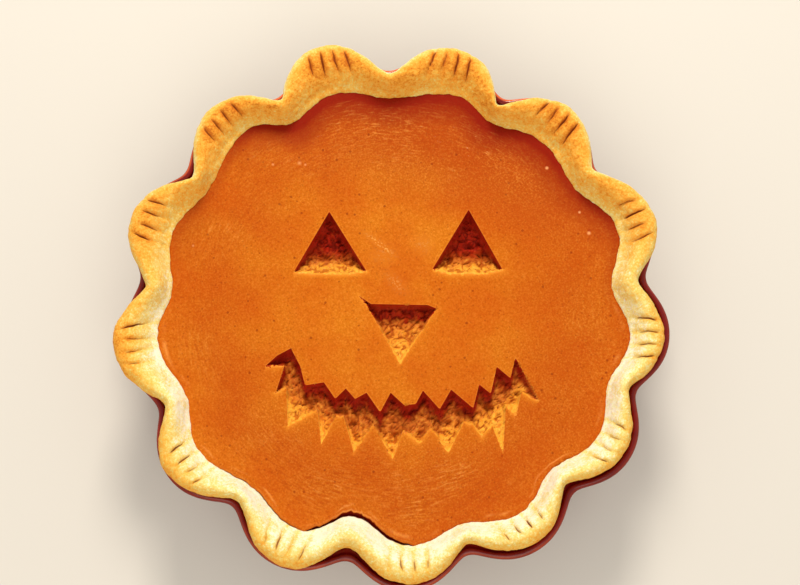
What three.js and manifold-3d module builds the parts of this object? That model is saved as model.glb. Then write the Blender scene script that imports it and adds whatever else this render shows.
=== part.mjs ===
// A pumpkin pie with a carved face, in its ruffled stoneware dish.
// Millimetres, +Z up. The dish stands on z = 0 and its middle is close to the Z axis.
import * as THREE from 'three';
import { mergeVertices } from 'three/addons/utils/BufferGeometryUtils.js';
import Module from 'manifold-3d';

const wasm = await Module();
wasm.setup();

// ---- The whole pie ----------------------------------------------------------------------

const FLUTES = 13;               // ruffles round the dish, and folds of pastry laid into them
const STEPS = 10;                // facets to one ruffle
const COLUMNS = FLUTES * STEPS;
const TOUCH = 0.3;               // gap left between two pieces that lie against each other

// The pastry was laid in a little to the left of the dish's middle and away from its front.
const DISH_MIDDLE = { x: 1.6, y: -0.8 };
const PIE_MIDDLE = { x: 0.2, y: 1.5 };

// ---- The dish ---------------------------------------------------------------------------

const DISH_HEIGHT = 50;
const DISH_FLOOR = 5;            // thickness of the floor
const FOOT_RECESS = 1.5;         // how far the underside stands up inside the foot ring
const LIP_REACH = 128;           // how far the lip reaches where the ruffles are even out
const LIP_THICKNESS = 4.2;
const DISH_EASE = 0.6;           // below 1, a ruffle is broad and the pinch beside it narrow
// Each ruffle, anticlockwise from +X: how far its lobe reaches, then the angle in degrees and
// the reach of the pinch after it. They were shaped by hand, so they differ a little.
const RUFFLES = [
  { lobe: 133.7, pinch: 35.5, waist: 121.7 },
  { lobe: 133, pinch: 63.6, waist: 120 },
  { lobe: 131, pinch: 91.3, waist: 121.7 },
  { lobe: 131, pinch: 118.4, waist: 122.3 },
  { lobe: 132.9, pinch: 145.8, waist: 124.2 },
  { lobe: 134.6, pinch: 172.6, waist: 124.5 },
  { lobe: 131.8, pinch: 202.4, waist: 122.7 },
  { lobe: 133.9, pinch: 230.5, waist: 121.3 },
  { lobe: 133.5, pinch: 259.6, waist: 121.5 },
  { lobe: 133.4, pinch: 286.5, waist: 121.7 },
  { lobe: 132.8, pinch: 314.4, waist: 122.1 },
  { lobe: 132.7, pinch: 341.3, waist: 122.5 },
  { lobe: 133.2, pinch: 367.6, waist: 123.1 },
];

const FOOT = { inside: 85, outside: 92, chamfer: 1 };
// The outside of the wall, from the foot up: radius, height, and the ruffles' strength.
const OUTER_WALL = [
  { radius: 96, height: 3, ruffle: 0 },
  { radius: 104.8, height: 18, ruffle: 0.2 },
  { radius: 114, height: 33, ruffle: 0.6 },
  { radius: LIP_REACH - 5, height: 45.5, ruffle: 0.93 },
];
const LIP_ROUND = 0.9;           // size of the rounding at both edges of the lip
// Inside the dish: where its floor meets the wall, and the wall's two ends.
const FLOOR_EDGE = { radius: 88, height: DISH_FLOOR, ruffle: 0 };
const WALL_FOOT = { radius: 94, height: 8, ruffle: 0 };
const WALL_HEAD = { radius: LIP_REACH - 11.2, height: 43, ruffle: 0.93 };

// ---- The pastry -------------------------------------------------------------------------

// Each hand-pressed fold, anticlockwise: the angle of its tip in degrees, how far the tip
// reaches, and how far the filling runs into it. Then the same for the pinch after it.
const FOLDS = [
  { tip: 19.5, reach: 135.6, bay: 116.5, pinch: 34.5, waist: 119.6, cape: 107.5 },
  { tip: 48, reach: 132.6, bay: 111.2, pinch: 62.5, waist: 113, cape: 104.8 },
  { tip: 75.5, reach: 133.5, bay: 111.7, pinch: 90.5, waist: 116.5, cape: 105.2 },
  { tip: 105, reach: 135.5, bay: 111, pinch: 118, waist: 116.3, cape: 104.8 },
  { tip: 132, reach: 132.9, bay: 114, pinch: 147, waist: 116.2, cape: 107.3 },
  { tip: 161, reach: 134.4, bay: 112.8, pinch: 175.5, waist: 119, cape: 106.8 },
  { tip: 188, reach: 135.5, bay: 114, pinch: 204, waist: 118.8, cape: 107.4 },
  { tip: 217, reach: 134.2, bay: 115.2, pinch: 232.5, waist: 119.2, cape: 109.2 },
  { tip: 247, reach: 135.2, bay: 115.7, pinch: 260.5, waist: 118, cape: 102.3 },
  { tip: 275, reach: 133.4, bay: 114.8, pinch: 287.5, waist: 119.8, cape: 109.4 },
  { tip: 301.5, reach: 132.5, bay: 116.4, pinch: 313.5, waist: 119.6, cape: 109.4 },
  { tip: 327.5, reach: 131.8, bay: 116.7, pinch: 340.5, waist: 121, cape: 110.5 },
  { tip: 352.5, reach: 132, bay: 115.8, pinch: 365.5, waist: 120.2, cape: 107.1 },
];

const FOLD_EASE = 0.7;
const BAY_EASE = 0.88;           // the same for the bays that the filling runs into
const PASTRY = 4;                // thickness of the bottom crust
const RISE_AT_TIP = 10.2;        // height of the rim's crest above the filling at a fold
const RISE_AT_PINCH = 11.6;      // and at a pinch, where the dough is squeezed up
// The rim's section: how far across from the filling to the outer edge, and how high.
const RIM_SECTION = [
  [0, 0], [0.1, 0.24], [0.23, 0.54], [0.38, 0.82], [0.53, 0.97],
  [0.68, 1], [0.83, 0.9], [0.94, 0.7], [1, 0.42],
];
const RIM_UNDERCUT = 1.2;        // how far the rim's underside stays back from its outer edge

const SLITS_PER_FOLD = 4;        // one press of a fork
const TINE_PITCH = 6.1;
const SLIT_WIDTH = 1.3;
const SLIT_DEPTH = 2;
const SLIT_FROM = 0.3;           // where a slit starts and ends across the rim
const SLIT_TO = 0.8;
const SLIT_POINTS = 4;

// ---- The filling ------------------------------------------------------------------------

const FILLING_TOP = 49;          // level of the set custard where it meets the pastry
// The custard's top, from the middle out: radius, and rise above its edge.
const CUSTARD_TOP = [
  { radius: 0, rise: 0.06 },
  { radius: 48, rise: 0.18 },
  { radius: 88, rise: 0.3 },
];
const CUSTARD_EDGE = { back: 2.2, drop: 0.4 };   // it rounds off where it meets the pastry
const CRACK_WIDTH = 2.2;         // where the custard has shrunk away from the pastry
const CRACK_FROM = 245;
const CRACK_TO = 277;

// Each carving is deepest along its upper side. Its floor rises to the lower side, where it is
// still EDGE_DEPTH deep. For eyes and nose, from and to are the heights in the face between
// which it rises. The mouth's floor rises outwards round a point between the eyes and nose.
const EDGE_DEPTH = 1.6;
const EYE_FLOOR = { depth: 8.5, from: 26, to: 16 };
const NOSE_FLOOR = { depth: 6.2, from: -6, to: -27 };
const MOUTH_FLOOR = { depth: 6.5, x: 4, y: 20, from: 81, to: 93.5 };

// The carved face, as x and y from the pie's middle.
const LEFT_EYE = [[-30.5, 47.5], [-48, 17], [-39, 15.5], [-21, 15.5], [-12, 17.5]];
const RIGHT_EYE = [[37.5, 48.5], [19.5, 19], [28, 15.5], [46, 15.5], [54, 18.5]];
const NOSE = [
  [-15.5, 5.5], [-14, 3.6], [-11, -0.5], [4, -27.5], [21.5, -0.5], [17.5, 1.2], [-10, 1.7],
];
const UPPER_LIP = [
  [-60.5, -28.5], [-55, -23.5], [-48.5, -20], [-44, -28.5], [-41.5, -38], [-32.5, -36.5],
  [-27, -44.5], [-22, -39.5], [-17.5, -44.5], [-12, -41.5], [-5.5, -51], [-0.5, -41.5],
  [6, -47.5], [11.5, -47], [15, -40.5], [23, -49.5], [28.5, -40], [39, -49], [42, -37.5],
  [47.5, -42], [50.5, -29], [57, -34.5], [59.5, -24.5], [70.5, -45.5],
];
const LOWER_LIP = [
  [62, -41], [59.5, -52.5], [54.5, -47.5], [53, -70.5], [48, -57], [43, -63], [38.5, -56.5],
  [34.5, -55.5], [27, -70.5], [20.5, -60.5], [18.5, -58.5], [13.5, -65.5], [5.5, -59.5],
  [0.5, -73.5], [-8.5, -56.5], [-18, -70], [-23, -52.5], [-26.5, -52.5], [-33.5, -66],
  [-35.5, -49.5], [-49.5, -57.5], [-50.5, -39], [-55.5, -41.5], [-51.5, -28.5],
];

const DEGREE = Math.PI / 180;

// ---- Outlines ---------------------------------------------------------------------------

// 0 in the pinch, 1 at the tip, for a share of the way between the two.
function swell(share, ease) {
  return Math.sin(share ** ease * Math.PI / 2) ** 2;
}

function mix(from, to, share) {
  return from + (to - from) * share;
}

// The fold at a column: its angle, and how far the way from pinch to tip has gone.
function foldAtColumn(column) {
  const index = Math.floor(column / STEPS) % FLUTES;
  const share = 2 * (column % STEPS) / STEPS;
  return foldSides(index, share);
}

// A place in fold number index, for a share from 0 (pinch before) over 1 (tip) to 2 (pinch after).
function foldSides(index, share) {
  const fold = FOLDS[index];
  const before = FOLDS[(index + FLUTES - 1) % FLUTES];
  const pinchBefore = index === 0 ? before.pinch - 360 : before.pinch;
  const rising = share <= 1;
  const near = rising ? before : fold;
  const toTip = rising ? share : 2 - share;
  const angle = mix(rising ? pinchBefore : fold.pinch, fold.tip, toTip);
  return {
    angle: angle * DEGREE,
    outer: mix(near.waist, fold.reach, swell(toTip, FOLD_EASE)),
    inner: mix(near.cape, fold.bay, swell(toTip, BAY_EASE)),
    rise: mix(RISE_AT_PINCH, RISE_AT_TIP, swell(toTip, FOLD_EASE)),
  };
}

// The fold at any angle, in degrees.
function foldAtAngle(degrees) {
  const lastPinch = FOLDS[FLUTES - 1].pinch;
  const angle = ((degrees - lastPinch) % 360 + 360) % 360 + lastPinch - 360;
  const index = FOLDS.findIndex((fold) => angle <= fold.pinch);
  const fold = FOLDS[index];
  const pinchBefore = index === 0 ? lastPinch - 360 : FOLDS[index - 1].pinch;
  const share = angle <= fold.tip
    ? (angle - pinchBefore) / (fold.tip - pinchBefore)
    : 2 - (fold.pinch - angle) / (fold.pinch - fold.tip);
  return foldSides(index, share);
}

// Height of the rim's section at a share of the way across it.
function rimHeight(across) {
  const next = Math.max(1, RIM_SECTION.findIndex(([share]) => share >= across));
  const [fromShare, fromHeight] = RIM_SECTION[next - 1];
  const [toShare, toHeight] = RIM_SECTION[next];
  return mix(fromHeight, toHeight, (across - fromShare) / (toShare - fromShare));
}

// A point of the dish: radius where the ruffles are even out, height, and how strong they are.
function dishPoint(column, radius, height, ruffle) {
  const index = Math.floor(column / STEPS) % FLUTES;
  const after = RUFFLES[index];
  const before = RUFFLES[(index + FLUTES - 1) % FLUTES];
  const pinchBefore = index === 0 ? before.pinch - 360 : before.pinch;
  const along = (column % STEPS) / STEPS;
  const angle = mix(pinchBefore, after.pinch, along) * DEGREE;
  const waist = along < 0.5 ? before.waist : after.waist;
  const lip = mix(waist, after.lobe, swell(1 - Math.abs(2 * along - 1), DISH_EASE));
  const reach = radius + ruffle * (lip - LIP_REACH);
  return [
    DISH_MIDDLE.x + reach * Math.cos(angle),
    DISH_MIDDLE.y + reach * Math.sin(angle),
    height,
  ];
}

function piePoint(angle, reach, height) {
  return [
    PIE_MIDDLE.x + reach * Math.cos(angle),
    PIE_MIDDLE.y + reach * Math.sin(angle),
    height,
  ];
}

// ---- Solids -----------------------------------------------------------------------------

// Wraps rings round the axis. Each ring is a function that gives its point at a column. The
// first and the last ring are single points on the axis.
function wrap(rings) {
  const section = rings.map((ring, index) => new THREE.Vector2(1, index));
  const geometry = new THREE.LatheGeometry(section, COLUMNS);
  const position = geometry.getAttribute('position');
  for (let column = 0; column <= COLUMNS; column += 1) {
    rings.forEach((ring, index) => {
      position.setXYZ(column * rings.length + index, ...ring(column % COLUMNS));
    });
  }
  return geometry;
}

// A closed solid for joining and cutting, with its faces pointing out.
function solid(geometry) {
  geometry.deleteAttribute('normal');
  geometry.deleteAttribute('uv');
  const merged = mergeVertices(geometry, 1e-4);
  const vertices = merged.getAttribute('position').array;
  const corners = merged.getIndex().array;
  const triangles = [];
  for (let i = 0; i < corners.length; i += 3) {
    const [a, b, c] = corners.slice(i, i + 3);
    if (a !== b && b !== c && c !== a) {
      triangles.push(a, b, c);
    }
  }
  if (signedVolume(vertices, triangles) < 0) {
    triangles.reverse();
  }
  const mesh = new wasm.Mesh({
    numProp: 3,
    vertProperties: new Float32Array(vertices),
    triVerts: new Uint32Array(triangles),
  });
  return new wasm.Manifold(mesh);
}

function signedVolume(vertices, triangles) {
  const at = (index) => new THREE.Vector3().fromArray(vertices, index * 3);
  let volume = 0;
  for (let i = 0; i < triangles.length; i += 3) {
    const [a, b, c] = triangles.slice(i, i + 3).map(at);
    volume += a.dot(b.cross(c)) / 6;
  }
  return volume;
}

function meshOf(body, name, look) {
  const { vertProperties, triVerts } = body.getMesh();
  const geometry = new THREE.BufferGeometry();
  geometry.setAttribute('position', new THREE.BufferAttribute(vertProperties, 3));
  geometry.setIndex(new THREE.BufferAttribute(triVerts, 1));
  geometry.computeVertexNormals();
  const mesh = new THREE.Mesh(geometry, new THREE.MeshStandardMaterial(look));
  mesh.name = name;
  return mesh;
}

// ---- Dish: thick flared wall, ruffled towards a rounded lip, on a foot ring --------------

function dishRing({ radius, height, ruffle }) {
  return (column) => dishPoint(column, radius, height, ruffle);
}

function makeDish() {
  const lipInside = LIP_REACH - LIP_THICKNESS;
  return solid(wrap([
    { radius: 0, height: FOOT_RECESS, ruffle: 0 },
    { radius: FOOT.inside - FOOT.chamfer, height: FOOT_RECESS, ruffle: 0 },
    { radius: FOOT.inside, height: 0, ruffle: 0 },
    { radius: FOOT.outside, height: 0, ruffle: 0 },
    ...OUTER_WALL,
    { radius: LIP_REACH - LIP_ROUND, height: DISH_HEIGHT - 2.4, ruffle: 1 },
    { radius: LIP_REACH, height: DISH_HEIGHT - LIP_ROUND, ruffle: 1 },
    { radius: LIP_REACH - LIP_ROUND, height: DISH_HEIGHT, ruffle: 1 },
    { radius: lipInside + LIP_ROUND, height: DISH_HEIGHT, ruffle: 1 },
    { radius: lipInside, height: DISH_HEIGHT - LIP_ROUND, ruffle: 1 },
    WALL_HEAD,
    WALL_FOOT,
    FLOOR_EDGE,
    { radius: 0, height: DISH_FLOOR, ruffle: 0 },
  ].map(dishRing)));
}

// ---- Crust: bottom, wall and fluted rim in one piece of pastry ---------------------------

const SIDE_TOUCH = 1.3 * TOUCH;  // the same gap, measured level across a sloping wall
const CAVITY_FLOOR = DISH_FLOOR + TOUCH + PASTRY;
const CAVITY_CORNER = { radius: 89.5, height: CAVITY_FLOOR + 0.9, ruffle: 0 };
const CAVITY_NECK = { back: 1.5, height: FILLING_TOP - 4 };   // just under the custard's top

function rimRing(across, height) {
  return (column) => {
    const { angle, outer, inner, rise } = foldAtColumn(column);
    return piePoint(angle, mix(inner, outer, across), FILLING_TOP + height * rise);
  };
}

// The rim lies on the lip. Where a pinch is too far in for that, it stays inside the dish.
function rimUnderside(column) {
  const { angle, outer } = foldAtColumn(column);
  return piePoint(angle, outer - RIM_UNDERCUT, DISH_HEIGHT + TOUCH);
}

function rimHeel(column) {
  const start = LIP_REACH - LIP_THICKNESS - TOUCH;
  const [x, y, z] = dishPoint(column, start, DISH_HEIGHT + TOUCH, 1);
  const across = new THREE.Vector2(x - PIE_MIDDLE.x, y - PIE_MIDDLE.y);
  const angle = across.angle();
  const limit = foldAtAngle(angle / DEGREE).outer - 2 * RIM_UNDERCUT;
  return piePoint(angle, Math.min(across.length(), limit), z);
}

function makeShell() {
  const neck = (column) => {
    const { angle, inner } = foldAtColumn(column);
    return piePoint(angle, inner - CAVITY_NECK.back, CAVITY_NECK.height);
  };
  const rings = [
    dishRing({ radius: 0, height: CAVITY_FLOOR, ruffle: 0 }),
    dishRing(CAVITY_CORNER),
    neck,
    ...RIM_SECTION.map(([across, height]) => rimRing(across, height)),
    rimUnderside,
    rimHeel,
    dishRing({ ...WALL_HEAD, radius: WALL_HEAD.radius - SIDE_TOUCH }),
    dishRing({ radius: WALL_FOOT.radius - SIDE_TOUCH, height: WALL_FOOT.height + TOUCH / 3, ruffle: 0 }),
    dishRing({ radius: FLOOR_EDGE.radius - TOUCH / 2, height: DISH_FLOOR + TOUCH, ruffle: 0 }),
    dishRing({ radius: 0, height: DISH_FLOOR + TOUCH, ruffle: 0 }),
  ];
  return solid(wrap(rings));
}

// One slit of a fork's tine: a thin blade that follows the rim's surface at SLIT_DEPTH.
function makeSlit(fold, tine) {
  const heading = fold.tip * DEGREE;
  const outward = new THREE.Vector3(Math.cos(heading), Math.sin(heading), 0);
  const up = new THREE.Vector3(0, 0, 1);
  const aside = new THREE.Vector3().crossVectors(outward, up);
  const offset = (tine - (SLITS_PER_FOLD - 1) / 2) * TINE_PITCH;
  const clear = FILLING_TOP + RISE_AT_PINCH + SLIT_DEPTH;
  const outline = [];
  for (let point = 0; point < SLIT_POINTS; point += 1) {
    const share = point / (SLIT_POINTS - 1);
    const across = mix(SLIT_FROM, SLIT_TO, share);
    const along = mix(fold.bay, fold.reach, across);
    const degrees = fold.tip - Math.atan2(offset, along) / DEGREE;
    const here = foldAtAngle(degrees);
    const reach = Math.hypot(along, offset);
    const part = THREE.MathUtils.clamp((reach - here.inner) / (here.outer - here.inner), 0, 1);
    const depth = SLIT_DEPTH * Math.sin(share * Math.PI) ** 0.5;
    outline.push(new THREE.Vector2(along, FILLING_TOP + rimHeight(part) * here.rise - depth));
  }
  outline.push(new THREE.Vector2(outline.at(-1).x, clear));
  outline.push(new THREE.Vector2(outline[0].x, clear));
  const blade = new THREE.ExtrudeGeometry(new THREE.Shape(outline), {
    depth: SLIT_WIDTH, bevelEnabled: false, steps: 1,
  });
  blade.translate(0, 0, offset - SLIT_WIDTH / 2);
  const frame = new THREE.Matrix4().makeBasis(outward, up, aside);
  frame.setPosition(PIE_MIDDLE.x, PIE_MIDDLE.y, 0);
  return solid(blade.applyMatrix4(frame));
}

function makeCrust() {
  let crust = makeShell();
  for (const fold of FOLDS) {
    for (let tine = 0; tine < SLITS_PER_FOLD; tine += 1) {
      crust = crust.subtract(makeSlit(fold, tine));
    }
  }
  return crust;
}

// ---- Filling: set custard that fills the crust, with the face carved into its top --------

// How far the custard stands back from the pastry at an angle.
function crackAt(angle) {
  const share = (angle / DEGREE - CRACK_FROM) / (CRACK_TO - CRACK_FROM);
  return share > 0 && share < 1 ? CRACK_WIDTH * Math.sin(share * Math.PI) ** 0.5 : 0;
}

function custardRing(back, height) {
  return (column) => {
    const { angle, inner } = foldAtColumn(column);
    return piePoint(angle, inner - back - crackAt(angle), height);
  };
}

function makeCustard() {
  const neck = (column) => {
    const { angle, inner } = foldAtColumn(column);
    return piePoint(angle, inner - CAVITY_NECK.back - SIDE_TOUCH, CAVITY_NECK.height);
  };
  const topRing = ({ radius, rise }) => (column) => (
    piePoint(foldAtColumn(column).angle, radius, FILLING_TOP + rise)
  );
  const rings = [
    dishRing({ radius: 0, height: CAVITY_FLOOR + TOUCH, ruffle: 0 }),
    dishRing({
      radius: CAVITY_CORNER.radius - SIDE_TOUCH,
      height: CAVITY_CORNER.height + 2 * TOUCH,
      ruffle: 0,
    }),
    neck,
    custardRing(SIDE_TOUCH, FILLING_TOP - CUSTARD_EDGE.drop),
    custardRing(CUSTARD_EDGE.back, FILLING_TOP),
    ...[...CUSTARD_TOP].reverse().map(topRing),
  ];
  return solid(wrap(rings));
}

// All that lies above a floor that is deep on the upper side and rises to the lower side.
function aboveSlope({ depth, from, to }) {
  const reach = 2 * LIP_REACH;
  const outline = [
    [reach, depth], [reach, -depth], [from, -depth], [to, -EDGE_DEPTH],
    [-reach, -EDGE_DEPTH], [-reach, depth],
  ].map(([y, z]) => new THREE.Vector2(y, z));
  const slab = new THREE.ExtrudeGeometry(new THREE.Shape(outline), {
    depth: reach, bevelEnabled: false, steps: 1,
  });
  slab.translate(0, 0, -reach / 2);
  const sideways = new THREE.Matrix4().makeBasis(
    new THREE.Vector3(0, 1, 0), new THREE.Vector3(0, 0, 1), new THREE.Vector3(1, 0, 0),
  );
  return slab.applyMatrix4(sideways);
}

// The same round a point, rising outwards.
function aboveBowl({ depth, x, y, from, to }) {
  const section = [
    [0, -depth], [from, -depth], [to, -EDGE_DEPTH],
    [LIP_REACH, -EDGE_DEPTH], [LIP_REACH, depth], [0, depth],
  ].map(([radius, z]) => new THREE.Vector2(radius, z));
  const bowl = new THREE.LatheGeometry(section, COLUMNS / 2);
  bowl.rotateX(Math.PI / 2);
  bowl.translate(x, y, 0);
  return bowl;
}

function carving(outline, floor) {
  const shape = new THREE.Shape(outline.map(([x, y]) => new THREE.Vector2(x, y)));
  const { depth } = floor;
  const prism = new THREE.ExtrudeGeometry(shape, {
    depth: 3 * depth, bevelEnabled: false, steps: 1,
  });
  prism.translate(PIE_MIDDLE.x, PIE_MIDDLE.y, FILLING_TOP - 2 * depth);
  const above = 'x' in floor ? aboveBowl(floor) : aboveSlope(floor);
  above.translate(PIE_MIDDLE.x, PIE_MIDDLE.y, FILLING_TOP);
  return solid(prism).intersect(solid(above));
}

function makeFilling() {
  return makeCustard()
    .subtract(carving(LEFT_EYE, EYE_FLOOR))
    .subtract(carving(RIGHT_EYE, EYE_FLOOR))
    .subtract(carving(NOSE, NOSE_FLOOR))
    .subtract(carving([...UPPER_LIP, ...LOWER_LIP], MOUTH_FLOOR));
}

// ---- The pie ----------------------------------------------------------------------------

const pie = new THREE.Group();
pie.add(
  meshOf(makeDish(), 'dish', { color: '#8a1a14', roughness: 0.18, metalness: 0 }),
  meshOf(makeCrust(), 'crust', { color: '#e5b15a', roughness: 0.8, metalness: 0 }),
  meshOf(makeFilling(), 'filling', { color: '#d9641e', roughness: 0.45, metalness: 0 }),
);

export default pie;
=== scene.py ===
# %% [markdown]
# # A pumpkin pie with a carved face, in its ruffled stoneware dish
#
# Three things lie one inside the other: a glazed dish, a crust of shortcrust pastry whose rim
# was pressed into thirteen folds, and a set custard with a face carved into its top. Each is
# one closed skin here. A skin is worked out as whole numpy arrays of points, so a shape stays
# a formula that can be read, and a change to one number moves everything that hangs on it.

# %% Load the frame
import json
import bpy
import numpy as np
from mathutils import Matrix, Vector


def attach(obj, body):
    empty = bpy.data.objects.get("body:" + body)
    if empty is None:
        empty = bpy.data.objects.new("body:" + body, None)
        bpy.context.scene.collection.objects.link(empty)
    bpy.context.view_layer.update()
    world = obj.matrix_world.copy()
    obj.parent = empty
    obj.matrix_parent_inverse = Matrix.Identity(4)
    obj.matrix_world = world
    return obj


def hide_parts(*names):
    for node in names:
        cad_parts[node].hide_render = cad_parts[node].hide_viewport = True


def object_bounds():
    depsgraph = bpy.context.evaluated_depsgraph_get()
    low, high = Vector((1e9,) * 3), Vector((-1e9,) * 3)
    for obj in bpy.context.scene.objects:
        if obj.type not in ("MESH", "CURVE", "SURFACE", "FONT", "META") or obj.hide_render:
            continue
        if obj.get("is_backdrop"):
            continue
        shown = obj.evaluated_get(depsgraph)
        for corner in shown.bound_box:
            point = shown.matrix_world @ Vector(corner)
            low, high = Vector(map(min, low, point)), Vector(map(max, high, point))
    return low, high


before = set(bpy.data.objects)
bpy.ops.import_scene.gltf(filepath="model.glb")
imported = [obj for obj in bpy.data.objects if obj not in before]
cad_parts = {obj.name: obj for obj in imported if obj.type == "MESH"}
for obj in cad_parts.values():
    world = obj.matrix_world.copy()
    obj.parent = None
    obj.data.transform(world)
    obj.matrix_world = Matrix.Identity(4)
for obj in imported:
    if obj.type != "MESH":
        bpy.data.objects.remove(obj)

MM = 0.001                       # all sizes below are in millimetres
CAD_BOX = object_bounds()
print("nodes:", sorted(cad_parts))

# %% [markdown]
# ## Tools for shapes
#
# A few small tools make every skin. One draws a smooth line or a smooth sheet through a few
# stops. One gives bumps of a chosen size, the way dough and crumb have them. One closes rings
# of points into a skin, and one hands the skin to Blender. Bumps could come from a modifier
# with a noise texture, but a formula keeps them the same in every run and in every export.

# %% Smooth lines and steps
def mix(start, end, share):
    """start where share is 0, end where share is 1, and a straight line between."""
    return start + (end - start) * share


def ease(start, end, value):
    """0 up to start, 1 from end on, and between them 3t^2 - 2t^3 of the way t."""
    way = np.clip((value - start) / (end - start), 0, 1)
    return way * way * (3 - 2 * way)


def bell(value, middle, width):
    """1 in the middle, falling off to both sides as e^-(distance / width)^2."""
    return np.exp(-((value - middle) / width) ** 2)


def turned(x, y, degrees):
    """How far places x, y lie along a direction, in degrees from +X, and aside of it."""
    cos, sin = np.cos(np.radians(degrees)), np.sin(np.radians(degrees))
    return x * cos + y * sin, y * cos - x * sin


def through(stops, count):
    """A smooth line through the stops: a place between two of them blends the nearest four
    by the Catmull-Rom weights, so it leaves each stop in the direction from the one before to
    the one after. A stop may be a number, a point or a whole ring of points."""
    stops = np.asarray(stops, float)
    place = np.linspace(0, len(stops) - 1, count)
    left = np.minimum(place.astype(int), len(stops) - 2)
    t = (place - left).reshape(-1, *[1] * (stops.ndim - 1))
    first, last = 2 * stops[:1] - stops[1:2], 2 * stops[-1:] - stops[-2:-1]
    before, start, end, after = (np.concatenate([first, stops, last])[left + k] for k in range(4))
    return start + t / 2 * (
        end - before
        + t * (2 * before - 5 * start + 4 * end - after)
        + t * t * (3 * (start - end) + after - before)
    )


# %% Bumps of a chosen size
LATTICE = 256                    # corners each way before the random slopes repeat


def lumps(points, size, seed):
    """Smooth bumps about one size apart, from -1 to 1. Each corner of a lattice with that size
    has a random slope from the seed, and a place blends its eight corners' slopes with the
    weight 6t^5 - 15t^4 + 10t^3."""
    random = np.random.default_rng(seed)
    slopes = random.normal(size=(LATTICE, 3))
    slopes /= np.linalg.norm(slopes, axis=1, keepdims=True)
    order = random.permutation(LATTICE)
    place = points / size
    corner = np.floor(place).astype(int)
    within = place - corner
    weight = within ** 3 * (within * (within * 6 - 15) + 10)
    height = np.zeros(points.shape[:-1])
    for step in np.ndindex(2, 2, 2):
        x, y, z = np.moveaxis((corner + step) % LATTICE, -1, 0)
        row = order[(order[x] + y) % LATTICE]
        slope = slopes[order[(row + z) % LATTICE]]
        share = np.prod(np.where(step, weight, 1 - weight), axis=-1)
        height += share * ((within - step) * slope).sum(-1)
    return 1.7 * height


def layered(points, *layers):
    """Bumps of several sizes on top of each other. A layer is its height, size and seed."""
    return sum(height * lumps(points, size, seed) for height, size, seed in layers)


def on_level(x, y):
    """Places x, y as points at height 0."""
    return np.stack([x, y, np.zeros(x.shape)], -1)


# %% Rings into a closed skin
def ring_round(middle, angle, reach, height):
    """Points round a middle, from their angles in radians, reaches and heights."""
    x, y = middle[0] + reach * np.cos(angle), middle[1] + reach * np.sin(angle)
    return np.stack([x, y, np.broadcast_to(height, x.shape)], -1)


def skin_of(rings):
    """Joins rings of points, each to the next, with two triangles to a step, and closes the
    first and the last ring to their middles. The triangles are turned over if the skin's
    volume, a sixth of the sum of a . (b x c), comes out negative."""
    count, columns = rings.shape[:2]
    points = np.vstack([rings.reshape(-1, 3), rings[0].mean(0), rings[-1].mean(0)])
    at = np.arange(count * columns).reshape(count, columns)
    beside = np.roll(at, -1, axis=1)
    lower = np.stack([at[:-1], beside[:-1], beside[1:]], -1).reshape(-1, 3)
    upper = np.stack([at[:-1], beside[1:], at[1:]], -1).reshape(-1, 3)
    start_pole, end_pole = np.full(columns, len(points) - 2), np.full(columns, len(points) - 1)
    start = np.stack([beside[0], at[0], start_pole], -1)
    end = np.stack([at[-1], beside[-1], end_pole], -1)
    return points, facing_out(points, np.vstack([lower, upper, start, end]))


def facing_out(points, triangles):
    """The triangles with their corners in the order that makes them face outwards."""
    a, b, c = (points[triangles[:, k]] for k in range(3))
    volume = np.einsum("ij,ij->", a, np.cross(b, c)) / 6
    return triangles if volume > 0 else triangles[:, ::-1]


def raised(rings, height):
    """Moves a sheet of rings along its own normals, the cross product of its two directions.
    The sheet closes round its second direction, so the neighbours there wrap round."""
    across = np.gradient(rings, axis=0)
    along = (np.roll(rings, -1, axis=1) - np.roll(rings, 1, axis=1)) / 2
    normal = np.cross(along, across)
    normal /= np.maximum(np.linalg.norm(normal, axis=-1, keepdims=True), 1e-9)
    return rings - normal * height[..., None]


# %% A skin into Blender
def make_piece(name, node, points, triangles, marks, on_edge=None):
    """Puts points in millimetres and triangles into a smooth-shaded mesh that stands for a
    node of the frame. Each mark is one number or one place per point, for the finish. A line
    between two points that are on_edge is kept sharp."""
    mesh = bpy.data.meshes.new(name)
    mesh.vertices.add(len(points))
    mesh.vertices.foreach_set("co", (points * MM).astype(np.float32).ravel())
    mesh.loops.add(triangles.size)
    mesh.loops.foreach_set("vertex_index", triangles.astype(np.int32).ravel())
    mesh.polygons.add(len(triangles))
    mesh.polygons.foreach_set("loop_start", np.arange(0, triangles.size, 3, dtype=np.int32))
    mesh.update(calc_edges=True)
    for title, values in marks.items():
        kind, field = ("FLOAT", "value") if values.ndim == 1 else ("FLOAT_VECTOR", "vector")
        layer = mesh.attributes.new(title, kind, "POINT")
        layer.data.foreach_set(field, values.astype(np.float32).ravel())
    if on_edge is not None:
        ends = np.zeros(2 * len(mesh.edges), np.int32)
        mesh.edges.foreach_get("vertices", ends)
        sharp = mesh.attributes.new("sharp_edge", "BOOLEAN", "EDGE")
        sharp.data.foreach_set("value", on_edge[ends.reshape(-1, 2)].all(1))
    piece = bpy.data.objects.new(name, mesh)
    bpy.context.scene.collection.objects.link(piece)
    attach(piece, "root")
    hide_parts(node)
    print(name, len(points), "points,", len(triangles), "triangles")
    return piece


# %% [markdown]
# ## The ruffles
#
# The dish's lip was ruffled by a potter's fingers and the pastry was folded over it by hand, so
# both have thirteen tips, each with a reach of its own. Both swell by one rule: from a narrow
# pinch to a broad round tip, as a squared sine. The pie sits a little off the dish's middle.

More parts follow.
